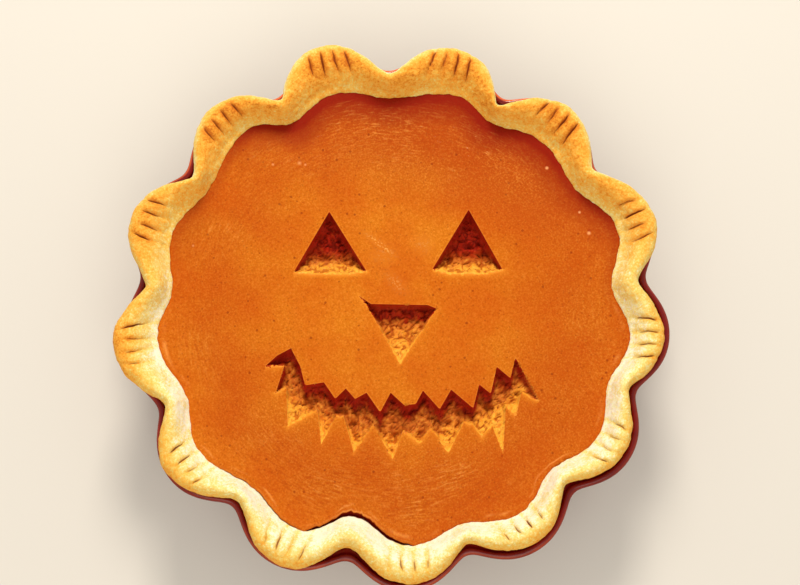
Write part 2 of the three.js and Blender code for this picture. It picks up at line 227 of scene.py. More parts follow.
# %% The dish and its ruffles
FLUTES = 13
DISH_MIDDLE = np.array([1.6, -0.8])
PIE_MIDDLE = np.array([0.2, 1.5])
LIP_REACH = 128                  # mean, from the dish's middle
DISH_EASE, DISH_BEND = 0.6, 0.12 # how broad the tips are, and how round the pinches
# Anticlockwise, in millimetres from the dish's middle and degrees from +X: how far a ruffle's
# tip reaches, the angle of the pinch after it, and how far that reaches.
RUFFLES = np.array([
    (133.7, 35.5, 121.7), (133.0, 63.6, 120.0), (131.0, 91.3, 121.7), (131.0, 118.4, 122.3),
    (132.9, 145.8, 124.2), (134.6, 172.6, 124.5), (131.8, 202.4, 122.7), (133.9, 230.5, 121.3),
    (133.5, 259.6, 121.5), (133.4, 286.5, 121.7), (132.8, 314.4, 122.1), (132.7, 341.3, 122.5),
    (133.2, 367.6, 123.1),
])
LIP_TIP, LIP_PINCH, LIP_WAIST = RUFFLES.T
LIP_PINCH_BEFORE = np.roll(LIP_PINCH, 1) - 360 * (np.arange(FLUTES) == 0)


def swell(share, power, bend):
    """0 in the pinch and 1 at the tip: the sine of a quarter turn times share to the power,
    squared. First share is turned to sqrt(share^2 + bend^2) - bend and scaled back to 1 at the
    tip, which rounds the pinch more, the larger bend is."""
    rounded = (np.hypot(np.clip(share, 0, 1), bend) - bend) / (np.hypot(1, bend) - bend)
    return np.sin(rounded ** power * np.pi / 2) ** 2


def dish_ring(turn, radius, height, ruffle):
    """A ring of the dish. turn counts ruffles round it, whole numbers at the pinches. The
    reach is radius plus the lip's own swelling times ruffle, which is 0 at the foot."""
    index, along = np.floor(turn).astype(int) % FLUTES, turn % 1
    angle = np.radians(mix(LIP_PINCH_BEFORE[index], LIP_PINCH[index], along))
    waist = np.where(along < 0.5, np.roll(LIP_WAIST, 1)[index], LIP_WAIST[index])
    lip = mix(waist, LIP_TIP[index], swell(1 - np.abs(2 * along - 1), DISH_EASE, DISH_BEND))
    return ring_round(DISH_MIDDLE, angle, radius + ruffle * (lip - LIP_REACH), height)


# %% The pastry's folds
# Anticlockwise, in degrees from +X and millimetres from the pie's middle: the angle of a
# fold's tip and how far it reaches, where the custard runs furthest into the fold and how far,
# the angle of the pinch after it, how far that reaches, how far its dough stands into the
# custard and how round it is, and how slowly the dough swells before the tip and after it.
FOLDS = np.array([
    (19.5, 135.6, 19.5, 116.5, 34.5, 119.6, 107.5, 0.03, 0.62, 0.64),
    (48.0, 132.6, 48.0, 111.0, 62.5, 113.0, 104.6, 0.04, 0.62, 0.62),
    (75.5, 133.5, 72.0, 111.0, 90.5, 116.5, 105.2, 0.05, 0.50, 0.60),
    (105.0, 135.7, 105.0, 111.0, 118.0, 116.6, 104.8, 0.06, 0.68, 0.50),
    (132.0, 133.3, 128.5, 114.0, 147.0, 116.2, 107.3, 0.04, 0.62, 0.68),
    (161.0, 134.4, 161.0, 112.8, 175.5, 119.0, 106.8, 0.02, 0.54, 0.70),
    (188.0, 135.5, 188.0, 114.0, 204.0, 118.8, 107.4, 0.05, 0.66, 0.58),
    (217.0, 134.2, 217.0, 115.2, 232.5, 119.2, 109.2, 0.08, 0.70, 0.66),
    (247.0, 135.2, 247.0, 115.7, 259.9, 117.8, 102.3, 0.18, 0.62, 0.55),
    (275.0, 133.4, 275.0, 114.8, 287.5, 119.8, 109.4, 0.05, 0.53, 0.66),
    (301.5, 132.5, 301.5, 116.4, 313.5, 119.6, 109.4, 0.03, 0.58, 0.62),
    (327.5, 131.8, 327.5, 116.7, 340.5, 121.0, 110.5, 0.06, 0.66, 0.70),
    (352.5, 132.0, 352.5, 115.8, 365.5, 120.2, 107.1, 0.07, 0.60, 0.64),
])
TIP, REACH, BAY_AT, BAY, PINCH, WAIST, CAPE, ROUND, SLOW_BEFORE, SLOW_AFTER = FOLDS.T
PINCH_BEFORE = np.roll(PINCH, 1) - 360 * (np.arange(FLUTES) == 0)
WAIST_BEFORE, CAPE_BEFORE = np.roll(WAIST, 1), np.roll(CAPE, 1)
BAY_EASE, CREST_EASE = 0.88, 0.7
INNER_BEND = 0.05                # how round the custard's edge and the crest are at the pinches
RISE_AT_TIP, RISE_AT_PINCH = 10.2, 11.6
print("custard reaches", CAPE.min(), "to", BAY.max(), "mm; the rim reaches", REACH.max(), "mm")

# %% The rim at any angle
def share_of_way(degrees, fold, middle):
    """The share of the way from the nearer pinch to a fold's middle, and if that is the pinch
    before it."""
    rising = degrees <= middle[fold]
    since_pinch = (degrees - PINCH_BEFORE[fold]) / (middle[fold] - PINCH_BEFORE[fold])
    until_pinch = (PINCH[fold] - degrees) / (PINCH[fold] - middle[fold])
    return np.where(rising, since_pinch, until_pinch), rising


def fold_at(degrees):
    """The rim at any angle: how far the custard reaches, how far the rim reaches, how high its
    crest stands above the custard, and the share of the way from pinch to tip. Each length
    swells between its two ends' values, and the custard's edge is a little uneven."""
    place = (degrees - PINCH[-1]) % 360 + PINCH[-1] - 360
    fold = np.minimum(np.searchsorted(PINCH, place), FLUTES - 1)
    share, rising = share_of_way(place, fold, TIP)
    waist = np.where(rising, WAIST_BEFORE[fold], WAIST[fold])
    bend = np.where(rising, np.roll(ROUND, 1)[fold], ROUND[fold])
    slow = np.where(rising, SLOW_BEFORE[fold], SLOW_AFTER[fold])
    outer = mix(waist, REACH[fold], swell(share, slow, bend))
    rise = mix(RISE_AT_PINCH, RISE_AT_TIP, swell(share, CREST_EASE, INNER_BEND))
    bay_share, rising = share_of_way(place, fold, BAY_AT)
    cape = np.where(rising, CAPE_BEFORE[fold], CAPE[fold])
    edge = ring_round((0, 0), np.radians(degrees), 110, 0)
    inner = mix(cape, BAY[fold], swell(bay_share, BAY_EASE, INNER_BEND))
    return inner + layered(edge, (0.45, 5, 8), (0.25, 2.2, 9)), outer, rise, share


def pie_ring(degrees, reach, height):
    """A ring round the pie's middle, from its angles, reaches and heights."""
    return ring_round(PIE_MIDDLE, np.radians(degrees), reach, height)


def from_pie(points):
    """The angles and reaches of points, as seen from the pie's middle."""
    x, y = points[..., 0] - PIE_MIDDLE[0], points[..., 1] - PIE_MIDDLE[1]
    return np.degrees(np.arctan2(y, x)), np.hypot(x, y)


# %% [markdown]
# ## The dish's skin
#
# A moulded dish is one wall of even thickness. Its section is walked once, from the middle of
# the underside over the foot ring, up the outside, over the round lip and down the inside, and
# that walk is swept round. The foot ring is the only place with hard corners, so its stops are
# joined by straight lines, while the wall and lip are one smooth line through their stops.

# %% Sweep the dish
DISH_HEIGHT, DISH_FLOOR, FOOT_RECESS = 50, 5, 1.5
LIP_THICKNESS = 4.2
DISH_COLUMNS = 1040
WALL_ROWS = 111
FOOT_STOPS = [                   # radius, height, strength of the ruffles
    (40, FOOT_RECESS, 0), (80, FOOT_RECESS, 0), (84, FOOT_RECESS, 0),
    (85.3, 0.4, 0), (86, 0, 0), (91, 0, 0), (92, 0.5, 0),
]
INNER_TOP, INNER_FOOT = (LIP_REACH - 11.2, 43, 0.93), (94, 8, 0)
WALL_STOPS = [
    (96, 3, 0), (104.8, 18, 0.2), (114, 33, 0.6), (LIP_REACH - 5, 45.5, 0.93),
    (LIP_REACH - 0.8, 47.4, 1), (LIP_REACH - 0.1, 48.6, 1), (LIP_REACH - 0.8, 49.6, 1),
    (LIP_REACH - 2, 49.95, 1), (LIP_REACH - 3.3, 49.5, 1), (LIP_REACH - LIP_THICKNESS, 48.2, 1),
    INNER_TOP, INNER_FOOT,
]
FLOOR_STOPS = [(90, 5.6, 0), (86, DISH_FLOOR, 0), (40, DISH_FLOOR, 0)]


def dish_skin():
    """Rings for all stops, each with its own strength of ruffle, the wall's smoothed, and the
    lip mark: a bell across the outer half of the lip's crest, where the glaze runs thin, with a
    painted highlight that is strongest on the far side."""
    turn = np.arange(DISH_COLUMNS) * FLUTES / DISH_COLUMNS
    stops = np.vstack([FOOT_STOPS, through(WALL_STOPS, WALL_ROWS), FLOOR_STOPS])
    crest = bell(stops[:, 0], LIP_REACH - 0.8, 0.6) * (stops[:, 1] > DISH_HEIGHT - 1.5)
    rings = np.array([dish_ring(turn, *stop) for stop in stops])
    y = rings[..., 1]
    # lit: strength of the painted highlight on the lip, high on the far side, low at the sides and
    # a little higher on the near side
    lit = 0.12 + 0.88 * ease(30, 115, y) + 0.2 * ease(-90, -125, y)
    lip = np.append((crest[:, None] * lit).ravel(), [0, 0])
    return *skin_of(rings), lip


dish_points, dish_triangles, lip = dish_skin()
foot = ease(0.9, 0.3, dish_points[:, 2])
dish = make_piece("ruffled_dish", "dish", dish_points, dish_triangles, {"foot": foot, "lip": lip})

# %% [markdown]
# ## The crust's skin
#
# Shortcrust is rolled flat, laid into the dish and trimmed wider than the lip. The overhang is
# rolled under, which makes the rim thick, and pinched between finger and knuckle into folds.
# The rim is a sheet over two parameters: one runs round the pie, the other from the custard up
# over the crest, down the outer edge and back under it. Its stops are whole rings, so one
# smoothing rounds the rim everywhere at once.

# %% The rim as a sheet
FILLING_TOP = 49
RIM_SECTION = [                  # share of the way across, and of the crest's height
    (0, 0), (0.1, 0.24), (0.23, 0.54), (0.38, 0.82), (0.53, 0.97),
    (0.68, 1), (0.83, 0.9), (0.94, 0.7), (0.985, 0.42),
]
RIM_UNDERCUT = 1.2
HALF_COLUMNS = 52                # columns from a pinch to a tip
RIM_ROWS = 60
TOUCH = 0.3                      # gap between the crust and the dish
PASTRY = 4
SHOULDER = 0.9                   # below the custard's top, where hidden pastry and custard begin
CROWDING = 0.33                  # how much closer the columns stand near a tip


def fold_columns():
    """The angles of all columns, and the same places counted in ruffles. The way from pinch to
    tip is (1 + c)t - ct^2, which sets the columns closer together near the tip, where the fork
    marks are fine."""
    way = np.arange(HALF_COLUMNS) / HALF_COLUMNS
    share, back = ((1 + CROWDING) * t - CROWDING * t ** 2 for t in (way, 1 - way))
    up = PINCH_BEFORE[:, None] + share * (TIP - PINCH_BEFORE)[:, None]
    down = PINCH[:, None] + back * (TIP - PINCH)[:, None]
    whole = np.arange(FLUTES)[:, None]
    degrees = np.hstack([up, down]).ravel()
    turn = np.hstack([whole + share / 2, whole + 1 - back / 2]).ravel()
    return degrees, turn


def rim_heel(turn):
    """Where the underside of the rim meets the dish's inner edge, kept inside the rim."""
    heel = dish_ring(turn, LIP_REACH - LIP_THICKNESS - TOUCH, DISH_HEIGHT + TOUCH, 1)
    degrees, reach = from_pie(heel)
    reach = np.minimum(reach, fold_at(degrees)[1] - 2 * RIM_UNDERCUT)
    return pie_ring(degrees, reach, DISH_HEIGHT + TOUCH)


rim_degrees, rim_turn = fold_columns()
rim_inner, rim_outer, rim_rise, rim_share = fold_at(rim_degrees)
rim_stops = [
    pie_ring(rim_degrees, mix(rim_inner, rim_outer, across), FILLING_TOP + height * rim_rise)
    for across, height in RIM_SECTION
]
rim_stops.append(pie_ring(rim_degrees, rim_outer - RIM_UNDERCUT, DISH_HEIGHT + TOUCH))
rim_stops.append(rim_heel(rim_turn))
rim = through(rim_stops, RIM_ROWS)
print("rim sheet:", rim.shape[0], "rows of", rim.shape[1], "columns")

# %% [markdown]
# ## Marks in the pastry
#
# Each fold was pressed once with a fork, whose four tines left slits that run outwards side by
# side. A slit is a groove: deepest half-way along, with steep sides, and a little dough heaped
# up along both. Besides, hands leave dough uneven, so broad low bumps lie under everything.

# %% Press the fork into each fold
FORK_AT = np.array([             # angle of each press, and where its slits begin and end
    (19.5, 116.5, 131), (48.6, 116, 129.5), (76.5, 116.5, 131.5), (104.4, 118, 131),
    (132.4, 117, 128.5), (160.5, 118, 129), (189.1, 119, 130.5), (218.5, 118.5, 127.5),
    (246.3, 119.5, 129.5), (273.6, 119, 127), (300.3, 119.5, 125.5), (327.3, 117, 127.5),
    (352.5, 116.5, 130.5),
])
TINES = 4
TINE_PITCH = 6.0
SLIT_WIDTH = 1.0
SLIT_DEPTH = 1.7
VALLEY_DEPTH = 0.55              # of the broad dent round each slit
FORK_SEED = 31


def fork_marks(x, y):
    """Shares of the depth of the slits, of the toasted dough beside them and of the broad dents
    round them, at places on the rim. Along a slit the depth follows a flattened bell. Across it
    the depth is a narrow bell that narrows towards both ends, and the toasted dough a wide one.
    A dent begins further in. The seed varies each slit a little."""
    random = np.random.default_rng(FORK_SEED)
    wavering = 0.3 * lumps(on_level(x, y), 4, 32)
    depth, heap, dent = (np.zeros(x.shape) for _ in range(3))
    for angle, start, end in FORK_AT:
        along, aside = turned(x - PIE_MIDDLE[0], y - PIE_MIDDLE[1], angle)
        for tine in range(TINES):
            bow, lean, shift, strength = random.uniform(-1, 1, 4)
            middle = (start + end) / 2 + shift
            half = (end - start) / 2 * (0.98 + 0.16 * strength)
            way = (along - middle) / half
            line = (tine - (TINES - 1) / 2) * TINE_PITCH
            line = line + 0.35 * bow * way ** 2 + 0.45 * lean * way
            shape = np.exp(-np.abs(way) ** 4) * (along > 0)
            width = SLIT_WIDTH / 2 * (0.4 + 0.6 * bell(way, 0.15, 0.8))
            groove = bell(aside + wavering, line, width)
            pressed = 0.74 + 0.16 * np.sin(np.radians(angle)) + 0.24 * strength
            depth = np.maximum(depth, shape * groove * pressed)
            heap = np.maximum(heap, shape * bell(aside, line, 1.9 * SLIT_WIDTH))
            long_shape = np.exp(-np.abs((along - middle + 2) / (half + 3)) ** 4) * (along > 0)
            dent = np.maximum(dent, long_shape * bell(aside, line, 1.1 * SLIT_WIDTH))
    return depth, heap, dent


slits, heaps, dents = fork_marks(rim[..., 0], rim[..., 1])
on_top = ease(FILLING_TOP + 3, FILLING_TOP + 6, rim[..., 2])
on_top *= ease(1.5, 4, rim_outer - from_pie(rim)[1])
slits, heaps = slits * on_top, heaps * on_top
print("deepest slit", round(float(slits.max() * SLIT_DEPTH), 2), "mm")

# %% Hands and oven
BROAD_BUMP, FINE_BUMP = 9, 2.6   # size of the dents of fingers, and of the crumbly top
SHRINKAGE = 0.39                 # how far the dough drew back in the oven
rim_row = np.linspace(0, 1, RIM_ROWS)[:, None]
free = ease(0, 0.12, rim_row) * ease(1, 0.85, rim_row)
uneven = layered(rim, (0.55, BROAD_BUMP, 5), (0.2, FINE_BUMP, 6), (0.08, FINE_BUMP / 2, 7))
uneven -= SHRINKAGE
relief = free * (uneven - VALLEY_DEPTH * dents) - SLIT_DEPTH * slits
rim = raised(rim, relief)


ROWS_BEFORE, ROWS_AFTER = 4, 3   # rings of the crust before and after the rim sheet


def crust_skin():
    """The rim sheet, with the neck, its shoulder and the bottom of the hollow before it, and
    the outside of the pastry, close to the dish, after it."""
    side = 1.3 * TOUCH
    hollow = DISH_FLOOR + TOUCH + PASTRY
    rings = [
        dish_ring(rim_turn, 40, hollow, 0),
        dish_ring(rim_turn, 89.5, hollow + 0.9, 0),
        pie_ring(rim_degrees, rim_inner - 1.5, FILLING_TOP - 4),
        pie_ring(rim_degrees, rim_inner - 0.3, FILLING_TOP - SHOULDER),
        *rim,
        dish_ring(rim_turn, INNER_TOP[0] - side, *INNER_TOP[1:]),
        dish_ring(rim_turn, INNER_FOOT[0] - side, INNER_FOOT[1] + 0.1, 0),
        dish_ring(rim_turn, 40, DISH_FLOOR + TOUCH, 0),
    ]
    return skin_of(np.array(rings))


crust_points, crust_triangles = crust_skin()

# %% [markdown]
# ## What the oven did, and painted shade
#
# Pastry browns where it stands proud of its neighbours and where butter runs, and stays pale
# where it is damp: at the custard, and on the underside. The marks say how far each point has
# browned, so that the finish can follow the shape, which no texture in space could do. They also
# carry painted shade: the rim is browner where it faces away from the lamp.

# %% Browning
# Share of the way across the rim, and how brown the dough is there on the near and far side,
# with painted shade where the rim faces away from the lamp.
NEAR_BROWN_AND_SHADE = (0, 0.3, 0.55, 0.8, 1), (0.0, 0.06, 0.33, 0.65, 0.86)
FAR_BROWN_AND_SHADE = (0, 0.2, 0.42, 0.56, 0.68, 0.82, 1), (0.45, 0.57, 0.67, 0.58, 0.36, 0.32, 0.42)
DAMP_REACH = 118                 # how far out the custard makes the dough damp


def crust_marks():
    """Browning is blended from the near side's line across the rim and the far side's, plus bumps
    of three sizes, and carries painted shade: the far side's inner slope is browner than the near
    side's, and the near side's outer edge browner than the far side's, as both face away from the
    lamp, and the near side's dents are darkened. The far side is paler at the pinches, and the left
    side browner at the tips. Slits and the dough beside them are marked by their own shares, the
    slits for painted shade, and the damp dough that touches the custard by its place below the
    custard's skin; its dark red is partly painted shade in the crack."""
    across = np.broadcast_to(rim_row, rim.shape[:2])
    far = np.sin(np.radians(rim_degrees))[None, :]
    patchy = layered(rim, (0.5, 14, 11), (0.3, 5, 12), (0.2, 2, 13))
    north = ease(-0.35, 0.75, far)
    west = bell(rim_degrees % 360, 190, 30)[None, :]
    near = np.interp(across, *NEAR_BROWN_AND_SHADE) * mix(0.78, 1.06, rim_share)
    brown = mix(near, np.interp(across, *FAR_BROWN_AND_SHADE), north)
    brown = brown + mix(0.16, 0.26, north) * patchy + 0.14 * heaps * north
    # The near side's dents are darkened, a painted shade.
    brown += 0.1 * bell(across, 0.46, 0.14) * rim_share * north + 0.15 * dents * (1 - north)
    brown -= 0.24 * bell(across, 0.7, 0.2) * (1 - rim_share) ** 2 * north
    brown += west * bell(across, 0.52, 0.28) * mix(0.04, 0.3, rim_share)
    columns = rim.shape[1]
    before, after = np.full((ROWS_BEFORE, columns), 0.1), np.full((ROWS_AFTER, columns), 0.2)
    marks = {
        "baked_and_shaded": np.concatenate([before, brown, after]).ravel(),
        # The slits' share, which the finish paints dark as shade.
        "slit_shade": np.concatenate([0 * before, slits, 0 * after]).ravel(),
        "heap": np.concatenate([0 * before, heaps * mix(0.15, 1, north), 0 * after]).ravel(),
    }
    marks = {title: np.append(values, [0, 0]) for title, values in marks.items()}
    # Dough below the custard's skin is stained dark red, which is also painted shade in the crack.
    below = ease(FILLING_TOP - 0.7 * SHOULDER, FILLING_TOP - SHOULDER, crust_points[:, 2])
    marks["damp_and_shaded"] = below * (np.hypot(crust_points[:, 0], crust_points[:, 1]) < DAMP_REACH)
    return marks


crust = make_piece("folded_crust", "crust", crust_points, crust_triangles, crust_marks())

# %% [markdown]
# ## The custard's skin
#
# The custard's top needs fine detail in the face and little elsewhere, and it ends in a wavy
# line. A square grid pressed into a disc has no pole in the middle of the face, where a polar
# grid would bunch up, and it stays one even sheet. The two numbers of a place in the square
# are first drawn towards the middle, which makes the cells finer there.

# %% A square grid pressed into a disc
CELLS = 308
FINE = 0.78                      # size of the cells in the middle, compared with even ones
CUSTARD_OVERLAP = 0.25           # how far the custard's edge is sunk into the pastry
CRACK_WIDTH, CRACK_FROM, CRACK_TO = 2.7, 249, 275.5      # millimetres, and degrees
HAIR_FROM = 216                  # degrees, where the hairline beside the pastry starts


def crack_at(degrees):
    """Width of the crack between custard and pastry: the root of a sine, with a ragged edge,
    and before it a hair's breadth along the edge, here and there."""
    place = degrees % 360
    way = np.clip((place - CRACK_FROM) / (CRACK_TO - CRACK_FROM), 0, 1)
    edge = pie_ring(degrees, 112.0, 0.0)
    ragged = 1 + layered(edge, (0.35, 3.5, 21), (0.3, 1.4, 22)) * mix(1, 0.3, way)
    hair = ease(HAIR_FROM, HAIR_FROM + 12, place) * ease(CRACK_FROM + 4, CRACK_FROM, place)
    hair *= 0.8 * ease(-1.2, 0.1, lumps(edge, 9, 23))
    return CRACK_WIDTH * np.sin(way * np.pi) ** 0.5 * ragged + hair


def custard_plan():
    """x, y and the share of the way from the middle to the edge. A place u, v of the square
    goes to u sqrt(1 - v^2/2), v sqrt(1 - u^2/2) of a unit disc, which is then stretched to the
    custard's mean radius and, towards the edge, to its wavy outline."""
    line = np.linspace(-1, 1, CELLS + 1)
    line = line * (FINE + (1 - FINE) * line ** 4)
    u, v = np.meshgrid(line, line)
    disc_x, disc_y = u * np.sqrt(1 - v * v / 2), v * np.sqrt(1 - u * u / 2)
    share = np.minimum(np.hypot(disc_x, disc_y), 1)
    degrees = np.degrees(np.arctan2(disc_y, disc_x))
    edge = fold_at(degrees)[0] + CUSTARD_OVERLAP - crack_at(degrees)
    middling = (CAPE.min() + BAY.max()) / 2
    reach = mix(middling, edge, share ** 6)
    x, y = PIE_MIDDLE[0] + reach * disc_x, PIE_MIDDLE[1] + reach * disc_y
    return x, y, share, edge - share * reach


plan_x, plan_y, plan_share, to_edge = custard_plan()
middle_cell = np.diff(plan_x[CELLS // 2])[CELLS // 2]
print("cell in the middle:", round(float(middle_cell), 2), "mm")

# %% [markdown]
# ## The carved face
#
# The face was cut with the point of a knife and the slices were lifted out. The cuts are sharp
# on the upper sides, where the knife went down steeply, and the floor rises to the lower sides,
# where the slices were levered out. Torn custard is lumpy. Each outline is a closed line of
# corners. What matters at a place is its distance from that line, because walls, rounding and
# colour all follow it.

# %% Outlines of the face
# Corners of each outline, as x and y in millimetres from the pie's middle.
LEFT_EYE = [(-30.5, 47.5), (-47.5, 17.5), (-39, 16.6), (-21, 16.6), (-12.3, 18)]
RIGHT_EYE = [(37.5, 48.5), (19.8, 19), (28, 16.8), (46, 16.8), (53.7, 18.7)]
NOSE = [(-15.5, 5.5), (-14, 3.6), (-11, -0.5), (4, -27.5), (21.5, -0.5), (17.5, 1.2), (-10, 1.7)]
UPPER_LIP = [
    (-60.5, -28.5), (-55, -23.5), (-48.5, -20), (-44, -28.5), (-41.5, -38), (-32.5, -36.5),
    (-27, -44.5), (-22, -39.5), (-17.5, -44.5), (-12, -41.5), (-5.5, -51), (-0.5, -41.5),
    (6, -47.5), (11.5, -47), (15, -40.5), (23, -49.5), (28.5, -40), (39, -49), (42, -37.5),
    (47.5, -42), (50.5, -29), (57, -34.5), (59.5, -24.5), (70.5, -45.5),
]
LOWER_LIP = [
    (62, -41), (59.5, -52.5), (54.5, -47.5), (53, -70.5), (48, -57), (43, -63), (38.5, -56.5),
    (34.5, -55.5), (27, -70.5), (20.5, -60.5), (18.5, -58.5), (13.5, -65.5), (5.5, -59.5),
    (0.5, -73.5), (-8.5, -56.5), (-18, -70), (-23, -52.5), (-26.5, -52.5), (-33.5, -66),
    (-35.5, -49.5), (-49.5, -57.5), (-50.5, -39), (-55.5, -41.5), (-51.5, -28.5),
]
FACE = {
    "left_eye": LEFT_EYE, "right_eye": RIGHT_EYE, "nose": NOSE, "mouth": UPPER_LIP + LOWER_LIP,
}
MOUTH_ROUND = (4, 20)            # the point that the mouth is bent round
NO_SIDE = 99                     # stands for the drop where no side lies above
print("corners:", {name: len(outline) for name, outline in FACE.items()})

# %% Inside an outline, and how deep
EDGE_DEPTH = 1.6                 # depth of the floor where it has risen to the lower side


def floor_depth(name, x, y):
    """Depth of the floor. In an eye or the nose it rises with a straight slope between two
    heights in the face. In the mouth it rises outwards round a point between the eyes and nose."""
    if name == "mouth":
        from_round = np.hypot(x - MOUTH_ROUND[0], y - MOUTH_ROUND[1])
        return mix(6.5, EDGE_DEPTH, ease(80, 94.5, from_round))
    if name == "nose":
        return mix(6.2, EDGE_DEPTH, ease(-4, -28, y))
    return mix(8.5, EDGE_DEPTH, ease(28, 15.5, y))


def from_outline(outline, x, y):
    """For places x, y: how far inside the closed outline they lie, the nearest place on it, how
    far an upper side lies straight above, and how much the nearest side is a lower one. A place
    is inside if a line from it to the right crosses the outline an odd number of times. The
    nearest place is found on each side, and the best of those is taken."""
    start = np.array(outline, float)
    end = np.roll(start, -1, axis=0)
    way = end - start
    to_x, to_y = x[..., None] - start[:, 0], y[..., None] - start[:, 1]
    along = np.clip((to_x * way[:, 0] + to_y * way[:, 1]) / (way ** 2).sum(1), 0, 1)
    best = np.hypot(to_x - along * way[:, 0], to_y - along * way[:, 1]).argmin(-1)
    along = np.take_along_axis(along, best[..., None], -1)[..., 0]
    near_x = start[best, 0] + along * way[best, 0]
    near_y = start[best, 1] + along * way[best, 1]
    between_y = (start[:, 1] > y[..., None]) != (end[:, 1] > y[..., None])
    between_x = (start[:, 0] > x[..., None]) != (end[:, 0] > x[..., None])
    with np.errstate(divide="ignore", invalid="ignore"):
        crossings = (between_y & (to_x < to_y * way[:, 0] / way[:, 1])).sum(-1)
        rise = to_x * way[:, 1] / way[:, 0] - to_y
    turning = np.sign(start[:, 0] @ end[:, 1] - start[:, 1] @ end[:, 0])
    level_way = turning * way[:, 0]
    above = between_x & (level_way < 0) & (rise > -0.3)
    drop = np.where(above, np.maximum(rise, 0), NO_SIDE).min(-1)
    lower = ease(0.2, 0.9, level_way[best] / np.hypot(*way.T)[best])
    distance = np.hypot(x - near_x, y - near_y)
    distance = np.where(crossings % 2 == 1, distance, -distance)
    return distance, near_x, near_y, drop, lower


# %% Draw the grid onto the outlines
# A cell would cut across an outline and blur it. So each point closer than half a cell moves
# onto the outline, the nearest point to a corner moves into it, and a cell with two opposite
# corners on an outline is later split along them. Inside the upper sides, the next points move
# to one distance, so that the foot of the wall is as even as its edge.
NEAR = 0.48                      # of a cell
WALL_FOOT = 0.75, 1.45           # in cells: where the foot is, and how far points move to it


def draw_onto(outline, x, y, drawn):
    """Moves points of the grid onto an outline. x and y are from the pie's middle."""
    low, high = np.min(outline, axis=0) - 2, np.max(outline, axis=0) + 2
    rows, columns = np.nonzero((x > low[0]) & (x < high[0]) & (y > low[1]) & (y < high[1]))
    window = np.s_[rows.min():rows.max() + 1, columns.min():columns.max() + 1]
    distance, near_x, near_y, _, lower = from_outline(outline, x[window], y[window])
    cell = (x[window][0, -1] - x[window][0, 0]) / (distance.shape[1] - 1)
    close = np.abs(distance) < NEAR * cell
    for corner in outline:
        gap = np.hypot(x[window] - corner[0], y[window] - corner[1])
        best = np.unravel_index(gap.argmin(), gap.shape)
        close[best] = True
        near_x[best], near_y[best] = corner
    x[window][close] = near_x[close]
    y[window][close] = near_y[close]
    foot = ~close & (distance > 0) & (distance < WALL_FOOT[1] * cell) & (lower < 0.5)
    share = WALL_FOOT[0] * cell / distance[foot]
    x[window][foot] = mix(near_x[foot], x[window][foot], share)
    y[window][foot] = mix(near_y[foot], y[window][foot], share)
    drawn[window] |= close
    return window


face_x, face_y = plan_x - PIE_MIDDLE[0], plan_y - PIE_MIDDLE[1]
drawn = np.zeros(face_x.shape, bool)
windows = {name: draw_onto(outline, face_x, face_y, drawn) for name, outline in FACE.items()}
print("points drawn onto the outlines:", int(drawn.sum()))

# %% Height of the uncut skin
def custard_top(x, y, share, from_edge):
    """Height of the uncut skin: nearly level, with broad low swells, low wrinkles near the
    pastry, where the custard drew together as it cooled, and rounded off at the edge. The
    wrinkles are bumps drawn out along the edge, because they are looked up by distance from the
    edge times a few, and by direction."""
    flat = on_level(x, y)
    dome = 0.06 + 0.24 * ease(0, 88, np.hypot(x, y)) - 0.3 * ease(0.78, 1, share)
    swells = layered(flat, (0.16, 30, 41), (0.05, 7, 42))
    near_rim = ease(38, 14, from_edge) * ease(0, 4, from_edge)
    length = np.maximum(np.hypot(x, y), 1)
    drawn_out = np.stack([from_edge / 2.6, 13 * x / length, 13 * y / length], -1)
    wrinkles = 0.13 * lumps(drawn_out, 1, 43) * ease(-0.5, 0.6, lumps(flat, 24, 44))
    rounded = -0.3 * bell(from_edge, 0, 0.9)
    return dome + swells + near_rim * wrinkles + rounded


level = custard_top(face_x, face_y, plan_share, to_edge)
print("skin is level to within", round(float(np.ptp(level)), 2), "mm")

# %% Carve the face
WALL = 0.26                      # width of a cut's steep wall
SLOPE = 3.0                      # width of the soft lower side
GLOW = 1.2                       # how far the skin below a cut lets light through


def painted_shadow(name, drop, x, y):
    """Painted shadow, how brown and dark the inside is: 1 close below an upper side, where the
    wall's shadow falls, and 0 near the lower sides. In the mouth it fades outwards round a
    point between the eyes and nose, in an eye or the nose downwards."""
    if name == "mouth":
        inner = ease(89, 75, np.hypot(x - MOUTH_ROUND[0], y - MOUTH_ROUND[1]))
        return 0.4 * inner + 0.58 * ease(8, 2.5, drop)
    if name == "nose":
        steps = 0.44 * ease(7.5, 5.5, drop) + 0.24 * ease(12, 6, drop)
        return steps + 0.24 * ease(24, 10, drop)
    by_height = 0.5 * ease(18.5, 27, y) + 0.5 * ease(23, 32, y)
    return np.maximum(by_height, 0.9 * ease(4, 1.5, drop) * ease(17.3, 19, y))


